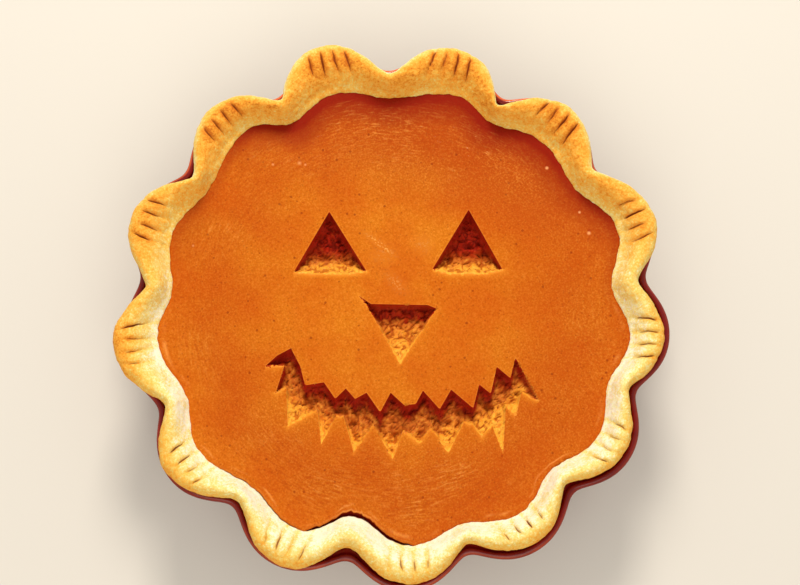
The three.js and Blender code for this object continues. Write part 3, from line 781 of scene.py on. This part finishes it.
def carve(name, outline, window, x, y):
    """For the places in a window: depth of the cut, distance inside its outline, painted shadow,
    height of the torn crumb, glow of the thin custard at the lower sides, and how much the nearest
    side is a lower one. The wall is steep, and soft on the lower side. Crumb is three sizes of
    lumps with crevices where others cross 0, and it is calm close to the walls."""
    distance, _, _, drop, lower = from_outline(outline, x[window], y[window])
    flat = on_level(x[window], y[window])
    crevice = bell(lumps(flat, 4.6, 58), 0, 0.09) + bell(lumps(flat, 3.2, 59), 0, 0.1)
    crumb = layered(flat, (0.9, 5.2, 51), (0.7, 2.7, 52), (0.3, 1.4, 53)) - 1.1 * crevice
    frayed = layered(flat, (0.5, 1.8, 54), (0.6, 4, 60))
    torn = distance + frayed * mix(ease(0.3, 1, distance), 1, np.minimum(2.5 * lower, 1))
    wall = ease(mix(0.01, -0.5, lower), mix(WALL, SLOPE, lower), torn)
    deep = floor_depth(name, x[window], y[window] + 1.6 * lumps(flat, 3.2, 55))
    calm = ease(mix(0.6, 0.0, lower), mix(2.2, 0.7, lower), distance)
    height = crumb * calm * mix(0.4, 1.1, np.clip(deep / 5, 0, 1))
    height += 0.28 * deep * lumps(flat, 3.6, 63) * ease(0.2, 0.7, distance) * (1 - lower)
    wander = mix(ease(0.2, 1.4, distance), calm, lower)
    wander *= layered(flat, (2.2, 4.6, 56), (1.6, 1.9, 57))
    # Painted shadow below the upper sides.
    dark = painted_shadow(name, drop + wander, x[window], y[window] + 0.6 * wander)
    crumb = crumb * calm
    glow = np.exp(np.minimum(distance, 0) / GLOW) * lower
    return wall * (deep - height), distance, dark, crumb, glow, lower


depth, cut_shadow, crumb_height, glow, soft = (np.zeros(level.shape) for _ in range(5))
inside = np.full(level.shape, -9.0)
for name, outline in FACE.items():
    window = windows[name]
    cut, distance, dark, crumb, light, lower = carve(name, outline, window, face_x, face_y)
    for whole, part in ((depth, cut), (cut_shadow, dark), (crumb_height, crumb)):
        whole[window] = np.where(distance > -1.5, part, whole[window])
    for whole, part in ((inside, distance), (glow, light), (soft, lower * (distance > -3))):
        whole[window] = np.maximum(whole[window], part)
level -= depth
print("face is", round(float(depth.max()), 1), "mm deep")


# %% Close the custard
NECK_DEPTH, FOOT_REACH = 2.4, 87.0     # below the top, where the side turns down, and its foot


def custard_skin():
    """The grid's cells as triangles, then its border as a ring that is carried over a shoulder
    and down the side to the bottom of the crust's hollow and closed there."""
    top = np.stack([face_x + PIE_MIDDLE[0], face_y + PIE_MIDDLE[1], FILLING_TOP + level], -1)
    at = np.arange(level.size).reshape(level.shape)
    a, b, c, d = at[:-1, :-1], at[:-1, 1:], at[1:, 1:], at[1:, :-1]
    other = (drawn.ravel()[b] & drawn.ravel()[d])[..., None]
    first = np.where(other, np.stack([a, b, d], -1), np.stack([a, b, c], -1)).reshape(-1, 3)
    second = np.where(other, np.stack([b, c, d], -1), np.stack([a, c, d], -1)).reshape(-1, 3)
    border = np.concatenate([at[0, :-1], at[:-1, -1], at[-1, :0:-1], at[:0:-1, 0]])
    degrees, reach = from_pie(top.reshape(-1, 3)[border])
    shoulder = pie_ring(degrees, reach + 0.15, FILLING_TOP - SHOULDER)
    neck = pie_ring(degrees, fold_at(degrees)[0] - 0.9, FILLING_TOP - NECK_DEPTH)
    corner = pie_ring(degrees, FOOT_REACH, DISH_FLOOR + PASTRY + 1.8)
    below = [shoulder, neck, corner]
    points = np.vstack([top.reshape(-1, 3), *below, corner.mean(0)])
    size = len(border)
    rings = np.vstack([border, at.size + np.arange(len(below) * size).reshape(-1, size)])
    beside = np.roll(rings, -1, axis=1)
    side = [np.stack([rings[k], rings[k + 1], beside[k + 1]], -1) for k in range(len(below))]
    side += [np.stack([rings[k], beside[k + 1], beside[k]], -1) for k in range(len(below))]
    bottom = np.stack([rings[-1], np.full(size, len(points) - 1), beside[-1]], -1)
    return points, facing_out(points, np.vstack([first, second, *side, bottom]))


custard_points, custard_triangles = custard_skin()
hidden_points = len(custard_points) - level.size

# %% Lines and painted glints on the custard
# Streaks of painted glints on the skin: x and y of the middle, half length, half width, turn in
# degrees, and strength.
GLINT_STREAKS = [
    (-5.5, 31, 7, 1.2, -38, 0.9), (15, 31, 4, 4, 0, 0.3),
    (2, 12, 6, 2.5, -45, 0.4), (-4, 26, 5, 4, 0, 0.25),
]


def edge_line(degrees):
    """A painted highlight: a pale line along the near edge, and along the crack's torn edge."""
    flat = on_level(face_x, face_y)
    lit_strip = bell(to_edge + 1.2 * lumps(flat, 11, 61), 3, 0.4) * ease(30, -30, face_y)
    lit_strip *= ease(-0.2, 0.4, lumps(flat, 14, 62))
    return np.maximum(lit_strip, bell(to_edge, 0.5, 0.45) * ease(0.2, 1.6, crack_at(degrees)))


def glint_streaks():
    """How strongly painted glints cover the skin, a bell along each streak and one across it."""
    painted_glints = np.zeros(face_x.shape)
    for x, y, half, width, turn, strength in GLINT_STREAKS:
        along, aside = turned(face_x - x, face_y - y, turn)
        painted_glints = np.maximum(painted_glints, strength * bell(along, 0, half) * bell(aside, 0, width))
    return painted_glints


# %% Marks of the custard
# Two more spots of painted shade beside the pastry.
SHADED = ((25, 8, 0.5), (158, 9, 0.3))   # direction, half width and strength of two dark spots


def custard_marks():
    """In and at the cuts: painted shadow, millimetres inside, height of the crumb, glow below a cut
    and softness of its edge. On the skin: nearness to the pastry, painted shade close to the far
    pastry, painted highlights along the edge, painted glints, where the skin is wrinkled, and
    which side is far, where the skin is also painted in shade. Last the drawn-out place that
    wrinkles follow. Each comes with its value on the hidden side."""
    length = np.maximum(np.hypot(face_x, face_y), 1)
    to_x, to_y = face_x / length, face_y / length
    degrees = np.degrees(np.arctan2(face_y, face_x))
    shade = 0.5 * ease(8, 1.5, to_edge) * ease(-0.35, 0.85, to_y + 0.2 * to_x)
    shade += 0.72 * ease(20, 7, to_edge) * ease(0.5, 0.88, to_y + 0.1 * to_x)
    for middle, half, strength in SHADED:
        shade += strength * ease(19, 6, to_edge) * bell(degrees, middle, half)
    wrinkled = ease(1, 15, to_edge) * ease(46, 18, to_edge)
    wrinkled *= mix(1, 0.25, ease(0.3, 0.8, to_x)) * mix(1, 0.55, ease(0.4, 0.9, -to_x))
    near_rim = ease(80, 0, to_edge) + 0.2 * ease(0, 100, face_x) + 0.3 * ease(0, -80, face_y)
    near_rim = np.minimum(near_rim, 1) * (1 - 0.5 * ease(26, 8, to_edge) * ease(20, -60, face_x))
    marks = {
        # On the hidden side, seen in the crack, full painted shadow and a pit's painted shade
        # darken it.
        "painted_shadow": (cut_shadow, 1), "inside": (np.clip(inside, -2, 2), 2),
        "lump": (crumb_height, -1), "glow": (glow, 0), "soft": (soft, 0),
        "near_rim": (near_rim, 1), "shade": (np.minimum(shade, 1), 0),
        # Painted highlights along the edge and painted glints.
        "edge_highlight": (edge_line(degrees), 0), "painted_glints": (glint_streaks(), 0),
        # far: the far side, which the finish also paints in shade.
        "wrinkled": (wrinkled, 0), "far": (ease(45, 105, face_y + 0.3 * face_x), 0),
    }
    for name, (top, hidden) in marks.items():
        marks[name] = np.append(top.ravel(), np.full(hidden_points, hidden))
    round_place = np.stack([length / 0.95, 17 * to_x, 17 * to_y], -1)
    marks["round_place"] = np.vstack([round_place.reshape(-1, 3), np.zeros((hidden_points, 3))])
    return marks


knife_edge = (np.abs(inside) < 0.001) & (soft < 0.1)
knife_edge = np.append(knife_edge, np.zeros(hidden_points, bool))
custard = make_piece("carved_custard", "filling", custard_points, custard_triangles,
                     custard_marks(), knife_edge)

# %% [markdown]
# ## Tools for finishes
#
# A finish is a small network of nodes. One function adds a node, sets its properties and fills
# or links its inputs, and short ones stand for the nodes that every finish uses, so a network
# reads from its source to its surface. Colours are written as they look on a screen and turned
# into linear light, which the shader works in.

# %% Nodes and colours
def linear(hex_colour):
    """Turns #rrggbb into linear light: v / 12.92 where v is small, else ((v + 0.055) /
    1.055)^2.4, with an alpha of 1."""
    parts = np.array([int(hex_colour[k:k + 2], 16) for k in (1, 3, 5)]) / 255
    light = np.where(parts <= 0.04045, parts / 12.92, ((parts + 0.055) / 1.055) ** 2.4)
    return (*light.tolist(), 1.0)


def add(tree, kind, settings=None, **inputs):
    """Adds a node. settings are its properties. An input is named with _ for a space, or _0,
    _1 and so on by number, and is given a value, a colour or another node's output."""
    node = tree.nodes.new(kind)
    for name, value in (settings or {}).items():
        setattr(node, name, value)
    for name, value in inputs.items():
        socket = node.inputs[int(name[1:]) if name[0] == "_" else name.replace("_", " ")]
        if isinstance(value, bpy.types.NodeSocket):
            tree.links.new(value, socket)
        else:
            socket.default_value = linear(value) if isinstance(value, str) else value
    return node


def new_finish(name):
    """An empty material, its tree, and the place on the object, which textures look up."""
    finish = bpy.data.materials.new(name)
    finish.use_nodes = True
    tree = finish.node_tree
    tree.nodes.clear()
    return finish, tree, add(tree, "ShaderNodeTexCoord").outputs["Object"]


def close_finish(finish, **inputs):
    """Ends a network with a surface that has these inputs."""
    tree = finish.node_tree
    surface = add(tree, "ShaderNodeBsdfPrincipled", **inputs)
    add(tree, "ShaderNodeOutputMaterial", Surface=surface.outputs["BSDF"])
    print(finish.name, len(tree.nodes), "nodes")
    return finish


# %% Values and blends
def mark(tree, name, kind="Fac"):
    """The value of a mark, as an output to link from."""
    return add(tree, "ShaderNodeAttribute", {"attribute_name": name}).outputs[kind]


def per_metre(size):
    """Scale for a texture whose features shall be that many millimetres apart."""
    return 1 / (size * MM)


def noise(tree, place, size, detail, roughness=0.5):
    """Cloudy values around 0.5, with clouds that many millimetres apart."""
    return add(tree, "ShaderNodeTexNoise", Vector=place, Scale=per_metre(size), Detail=detail,
               Roughness=roughness).outputs["Fac"]


def reckon(tree, operation, *values):
    """One step of arithmetic. MULTIPLY_ADD is the first times the second plus the third."""
    inputs = {f"_{number}": value for number, value in enumerate(values)}
    return add(tree, "ShaderNodeMath", {"operation": operation}, **inputs).outputs[0]


def times(tree, first, *others):
    """The product of all values."""
    for other in others:
        first = reckon(tree, "MULTIPLY", first, other)
    return first


def between(tree, value, start, end, low=0.0, high=1.0):
    """low up to start, high from end on, and a straight line between."""
    return add(tree, "ShaderNodeMapRange", Value=value, From_Min=start, From_Max=end,
               To_Min=low, To_Max=high).outputs["Result"]


def blend(tree, share, first, second):
    """One colour where share is 0 and another where it is 1."""
    return add(tree, "ShaderNodeMix", {"data_type": "RGBA"}, _0=share, _6=first,
               _7=second).outputs[2]


def ramp(tree, value, first, *stops):
    """A colour by value. A stop is a position and the colour there, in rising order."""
    node = add(tree, "ShaderNodeValToRGB", Fac=value)
    elements = node.color_ramp.elements
    for element, (position, colour) in zip(elements, (first, stops[-1])):
        element.position, element.color = position, linear(colour)
    for position, colour in stops[:-1]:
        elements.new(position).color = linear(colour)
    return node.outputs["Color"]


def bump(tree, height, strength, distance, **under):
    """Which way a skin faces that has bumps of this strength and height in millimetres. Normal
    is that of the bumps under them."""
    return add(tree, "ShaderNodeBump", Strength=strength, Distance=distance * MM,
               Height=height, **under).outputs["Normal"]


# %% [markdown]
# ## Red-glazed stoneware
#
# The dish was moulded from buff stoneware clay and dipped in a clear red glaze over a dark
# slip. Glaze is glass: smooth, so it mirrors the room sharply, and deep, so it looks almost
# black-red where it is thick. It runs off edges, so the lip shows a thinner, lighter red, and a
# painted highlight lies along the lip as well.

# %% Glaze the dish
def glazed_stoneware():
    """Dark red, broken by faint mottling, orange-red where the lip mark is high, which is thin
    glaze and a painted highlight, and bare rough clay on the foot ring. The glaze is smooth but for
    shallow ripples."""
    finish, tree, place = new_finish("red_glazed_stoneware")
    mottle = noise(tree, place, 9, 3.0)
    glaze = ramp(tree, mottle, (0.3, "#640a0b"), (0.7, "#7c1110"))
    thin_glaze_and_highlight = times(tree, mark(tree, "lip"), between(tree, mottle, 0.35, 0.65, 0.6))
    # Orange-red lip: thin glaze and a painted highlight.
    glaze = blend(tree, thin_glaze_and_highlight, glaze, "#f4743a")
    bare = mark(tree, "foot")
    return close_finish(
        finish, Base_Color=blend(tree, bare, glaze, "#c9a27c"),
        Roughness=between(tree, bare, 0.0, 1.0, 0.12, 0.8),
        Normal=bump(tree, noise(tree, place, 6, 1.0), 0.4, 0.6),
        IOR=1.5, Specular_IOR_Level=0.32)


dish.data.materials.append(glazed_stoneware())

# %% [markdown]
# ## Baked shortcrust
#
# Shortcrust is flour and butter, baked until its sugars brown. It is matt, a little sandy, and
# its colour runs from cream through gold to orange-brown within a few millimetres. The marks
# give the broad browning, and a texture in space breaks it up into freckles.

# %% Bake the crust
# Ramp of the browning, whose mark also carries painted shade.
BROWNING = [
    (0.0, "#f5f1d6"), (0.15, "#f0de92"), (0.3, "#ecca6c"), (0.45, "#ecb950"),
    (0.6, "#f0aa3e"), (0.78, "#e6942a"), (1.0, "#c06a18"),
]


def baked_shortcrust():
    """A ramp from cream to brown over the browning mark, which also holds painted shade, plus
    freckles and grains, then orange-brown beside the slits, painted shade in them, and dark red
    where the dough is damp from the custard, partly painted shade in the crack. Two sizes of
    bump give sand and blisters."""
    finish, tree, place = new_finish("baked_shortcrust")
    freckles, sand = noise(tree, place, 2.4, 5.0, 0.7), noise(tree, place, 1.0, 4.0, 0.7)
    baked_and_shaded = mark(tree, "baked_and_shaded")
    speckled = reckon(tree, "MULTIPLY_ADD", freckles, 0.9, -1.1)
    speckled = reckon(tree, "MULTIPLY_ADD", sand, 1.3, speckled)
    crisp = between(tree, baked_and_shaded, 0.0, 0.5, 0.42)
    colour = ramp(tree, reckon(tree, "MULTIPLY_ADD", speckled, crisp, baked_and_shaded), *BROWNING)
    colour = blend(tree, times(tree, mark(tree, "heap"), freckles), colour, "#cf7420")
    # Painted shade in the fork slits.
    colour = blend(tree, between(tree, mark(tree, "slit_shade"), 0.2, 0.7), colour, "#863a10")
    # Dark red of the damp dough, partly painted shade in the crack.
    colour = blend(tree, mark(tree, "damp_and_shaded"), colour, "#6a0c0a")
    grain = bump(tree, sand, 0.8, 0.4)
    return close_finish(
        finish, Base_Color=colour, Roughness=0.65,
        Normal=bump(tree, freckles, 0.4, 0.8, Normal=grain), IOR=1.45,
        Specular_IOR_Level=0.15, Subsurface_Weight=0.12, Subsurface_Radius=(1.0, 0.5, 0.2),
        Subsurface_Scale=1.2 * MM)


crust.data.materials.append(baked_shortcrust())

# %% [markdown]
# ## Set pumpkin custard
#
# Pumpkin, egg and milk set to a smooth skin that shines a little, with specks of cinnamon and
# nutmeg. Light goes a few millimetres into it and comes out orange, which softens all edges.
# Where the skin is cut away, the torn inside is rough and wet. It is yellow where light gets
# through its thin lower edge, and painted deep red-brown as shadow below the cuts' upper sides.

# %% The plain skin
SPECKS = ((7.0, 0.6, 0.07), (2.3, 0.3, 0.14))    # millimetres apart, strength, share of a cell


def plain_skin(tree, place, mottle, pores):
    """Orange with broad mottling, with painted shade that makes it redder towards the far side, and
    redder towards the pastry, with dark and light grains and two sizes of spice specks, which are
    the small cells of Voronoi textures. It glows below the cuts and is dark in the painted shade
    of the pastry."""
    skin = blend(tree, between(tree, mottle, 0.35, 0.65), "#c45f0d", "#cc7414")
    # Painted shade over the far side.
    skin = blend(tree, times(tree, mark(tree, "far"), 0.75), skin, "#a23806")
    skin = blend(tree, times(tree, mark(tree, "near_rim"), 0.55), skin, "#b0460a")
    skin = blend(tree, between(tree, pores, 0.5, 0.74, 0.0, 0.5), skin, "#9e3604")
    pale = times(tree, between(tree, mottle, 0.4, 0.65, 0.25, 0.5), between(tree, pores, 0.5, 0.28))
    skin = blend(tree, pale, skin, "#ec9a3c")
    for size, share, small in SPECKS:
        cells = add(tree, "ShaderNodeTexVoronoi", Vector=place, Scale=per_metre(size))
        speck = between(tree, cells.outputs["Distance"], small, small * 1.5, share, 0.0)
        skin = blend(tree, speck, skin, "#7c2606")
    skin = blend(tree, times(tree, mark(tree, "glow"), 0.8), skin, "#ec982c")
    return blend(tree, times(tree, mark(tree, "shade"), 0.95), skin, "#861405")


# %% Wrinkles and bubbles
BLISTERS = [                     # x, y, half width and strength of small bubbles set in the skin
    (76.0, 69.5, 1.1, 1.0), (91.6, 47.2, 0.9, 0.9), (96.0, 36.8, 1.2, 0.9),
    (-58.3, 71.2, 0.9, 0.6), (-45.3, 71.9, 1.3, 0.5), (-42.4, 71.1, 0.8, 0.6),
    (-96.6, 30.5, 0.8, 0.5),
]
# Painted shade just above each bubble and a painted highlight in it.
BLISTER_SHADE_AND_HIGHLIGHT = ((1.2, 0.6, "#8e2406"), (0.0, 0.75, "#ffb878"))   # half widths up, share, colour


def wrinkled_skin(tree, skin, mottle, pores):
    """The skin with its wrinkles, with a painted highlight on top, painted shade in the grooves and
    painted glints here and there on the far side, and how high the wrinkles are."""
    wrinkled = mark(tree, "wrinkled")
    folds = add(tree, "ShaderNodeTexNoise", Vector=mark(tree, "round_place", "Vector"),
                Scale=1.0, Detail=3.0).outputs["Fac"]
    wrinkle_and_highlight = times(tree, wrinkled, between(tree, mottle, 0.42, 0.6),
                    between(tree, folds, 0.53, 0.72))
    # Painted shade in the wrinkles' grooves and a painted highlight on their crests.
    groove = times(tree, wrinkled, between(tree, folds, 0.5, 0.36, 0.0, 0.4))
    skin = blend(tree, groove, skin, "#a03a06")
    skin = blend(tree, times(tree, wrinkle_and_highlight, 0.5), skin, "#ec9a44")
    glint = times(tree, wrinkled, mark(tree, "far"), between(tree, folds, 0.68, 0.76),
                  between(tree, pores, 0.52, 0.62))
    return blend(tree, glint, skin, "#ffcc90"), wrinkle_and_highlight


def blistered(tree, place, skin):
    """The skin with its bubbles. Each has a light dot of painted highlight and, just beyond it, a
    dark dot of painted shade.
    """
    plan = add(tree, "ShaderNodeVectorMath", {"operation": "MULTIPLY"}, _0=place, _1=(1, 1, 0))
    for x, y, half, strength in BLISTERS:
        for up, share, colour in BLISTER_SHADE_AND_HIGHLIGHT:
            middle = (*(PIE_MIDDLE + (x, y + up * half)) * MM, 0)
            off = add(tree, "ShaderNodeVectorMath", {"operation": "DISTANCE"},
                      _0=plan.outputs["Vector"], _1=middle).outputs["Value"]
            spot = between(tree, off, 0.1 * half * MM, half * MM, share * strength, 0.0)
            skin = blend(tree, spot, skin, colour)
    return skin


# %% Set the custard
# Torn inside from its yellow to the deep red-brown of the painted shadow.
TORN_AND_SHADOWED = [
    (0.0, "#f0ac3c"), (0.12, "#ea9c30"), (0.3, "#d27a2a"), (0.5, "#b8581a"), (0.75, "#a83a10"),
    (1.0, "#a01f0c"),
]


def torn_inside(tree, nibbles, centred, painted_shadow):
    """A ramp over the painted shadow, broken up by the nibbles, with painted shade in pits and
    crevices and a painted highlight on the ridges of the crumb."""
    lump = mark(tree, "lump")
    torn = ramp(tree, reckon(tree, "MULTIPLY_ADD", centred, 0.5, painted_shadow), *TORN_AND_SHADOWED)
    dark = blend(tree, between(tree, painted_shadow, 0.0, 0.9), "#b45410", "#741408")
    light = blend(tree, between(tree, painted_shadow, 0.2, 0.8), "#f8bc48", "#b0440e")
    # Painted shade in pits and crevices of the crumb.
    hollow = reckon(tree, "MAXIMUM", between(tree, nibbles, 0.46, 0.36, 0.0, 0.55),
                    between(tree, lump, -0.1, -1.0, 0.0, 0.8))
    # Painted highlight on the crumb's ridges.
    ridge_highlight = between(tree, lump, 0.1, 0.8, 0.0, 0.4)
    return blend(tree, ridge_highlight, blend(tree, hollow, torn, dark), light)


def set_custard():
    """Skin, and the torn inside from where the inside mark passes 0, which fine nibbles make
    ragged along the soft edges. The far side and the places of painted shadow shine less."""
    finish, tree, place = new_finish("set_pumpkin_custard")
    mottle, pores = noise(tree, place, 30, 5.0), noise(tree, place, 0.9, 4.0, 0.65)
    nibbles, painted_shadow = noise(tree, place, 1.8, 3.0), mark(tree, "painted_shadow")
    centred = reckon(tree, "SUBTRACT", nibbles, 0.5)
    within = reckon(tree, "MULTIPLY_ADD", times(tree, centred, mark(tree, "soft")), 5.0,
                    mark(tree, "inside"))
    skin = plain_skin(tree, place, mottle, pores)
    skin, wrinkle_and_highlight = wrinkled_skin(tree, skin, mottle, pores)
    # Painted highlight along the edge.
    skin = blend(tree, times(tree, mark(tree, "edge_highlight"), 0.5), skin, "#f0a050")
    skin = blistered(tree, place, skin)
    # Painted glints in the streaks.
    glint_flecks = times(tree, between(tree, pores, 0.5, 0.58), mark(tree, "painted_glints"))
    skin = blend(tree, glint_flecks, skin, "#f6b85c")
    # Painted highlight: a pale line on the skin just outside every cut's edge.
    skin = blend(tree, between(tree, within, -0.5, -0.05, 0.0, 0.3), skin, "#f09a38")
    cut = between(tree, within, -0.06, 0.0)
    dull = reckon(tree, "MAXIMUM", mark(tree, "far"), times(tree, cut, painted_shadow))
    pitted = bump(tree, pores, 0.3, 0.2)
    return close_finish(
        finish, Base_Color=blend(tree, cut, skin, torn_inside(tree, nibbles, centred, painted_shadow)),
        Roughness=between(tree, dull, 0.0, 0.6, 0.36, 0.6),
        Normal=bump(tree, wrinkle_and_highlight, 0.6, 0.3, Normal=pitted), IOR=1.4,
        Specular_IOR_Level=0.07, Subsurface_Weight=0.15, Subsurface_Radius=(1.0, 0.3, 0.06),
        Subsurface_Scale=1.5 * MM)


custard.data.materials.append(set_custard())

# %% [markdown]
# ## Table, light and camera
#
# The pie stands on a plain pale table. One large soft lamp beyond the pie's far side makes the
# short soft shadows that show how deep the face is. A weaker lamp on the near side and an even
# pale sky fill them. The camera looks down steeply through a long lens, so the near side is
# hardly larger than the far side.

# %% The table
TABLE_HALF = 1.5                 # metres


def make_table():
    """A square of plain card at height 0."""
    mesh = bpy.data.meshes.new("table")
    corners = [(-1, -1), (1, -1), (1, 1), (-1, 1)]
    mesh.from_pydata([(x * TABLE_HALF, y * TABLE_HALF, 0) for x, y in corners], [], [(0, 1, 2, 3)])
    table = bpy.data.objects.new("table", mesh)
    bpy.context.scene.collection.objects.link(table)
    finish, tree, place = new_finish("pale_card")
    mesh.materials.append(close_finish(
        finish, Base_Color="#d8d4cc", Roughness=0.8,
        Normal=bump(tree, noise(tree, place, 1.5, 3.0), 0.1, 0.1)))
    table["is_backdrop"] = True


make_table()

# %% The light
LAMP_DISTANCE = 1.5
SKY_STRENGTH = 0.6
SCENE = bpy.context.scene
SCENE.view_settings.view_transform = "Standard"
SCENE.world = bpy.data.worlds.new("pale_sky")
SCENE.world.use_nodes = True
sky = SCENE.world.node_tree.nodes["Background"]
sky.inputs["Color"].default_value = linear("#fffaf3")
sky.inputs["Strength"].default_value = SKY_STRENGTH


def aim(thing, place, target):
    """Puts a lamp or camera at a place and turns its -Z towards the target, with its Y up."""
    thing.location = place
    thing.rotation_euler = (Vector(target) - Vector(place)).to_track_quat("-Z", "Y").to_euler()


def add_lamp(name, size, energy, height, turn):
    """A square lamp that looks at the pie from a height in degrees above the table. turn is 1
    on the pie's far side and -1 on the near side."""
    lamp = bpy.data.objects.new(name, bpy.data.lights.new(name, "AREA"))
    SCENE.collection.objects.link(lamp)
    lamp.data.size, lamp.data.energy = size, energy
    lamp.data.color = linear("#fff6e8")[:3]
    tilt = np.radians(height)
    away, up = LAMP_DISTANCE * np.cos(tilt), LAMP_DISTANCE * np.sin(tilt)
    aim(lamp, (0, turn * away, up), (0, 0, FILLING_TOP * MM))
    print(name, "lamp of", energy, "W,", round(float(up), 2), "m up")


add_lamp("key", 0.45, 17.5, 42, 1)
add_lamp("fill", 1.2, 8.5, 58, -1)

# %% The camera
LOOK_AT = (0.0042, 0.0079, 0.054)
CAMERA_DISTANCE, CAMERA_HEIGHT = 0.9, 79.15      # metres, and degrees above the table
SENSOR_WIDTH, LENS = 36, 84.16                   # millimetres
camera = bpy.data.objects.new("camera", bpy.data.cameras.new("camera"))
SCENE.collection.objects.link(camera)
SCENE.camera = camera
camera.data.sensor_width, camera.data.lens = SENSOR_WIDTH, LENS
rise_angle = np.radians(CAMERA_HEIGHT)
aim(camera, (LOOK_AT[0], LOOK_AT[1] - CAMERA_DISTANCE * np.cos(rise_angle),
             LOOK_AT[2] + CAMERA_DISTANCE * np.sin(rise_angle)), LOOK_AT)
print("camera", round(camera.location.z, 3), "m above the table")

# %% Measure the visual box and print both boxes
visual_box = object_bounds()
boxes = {"cad": CAD_BOX, "visual": visual_box}
boxes = {name: [list(corner) for corner in box] for name, box in boxes.items()}
print(json.dumps(boxes))
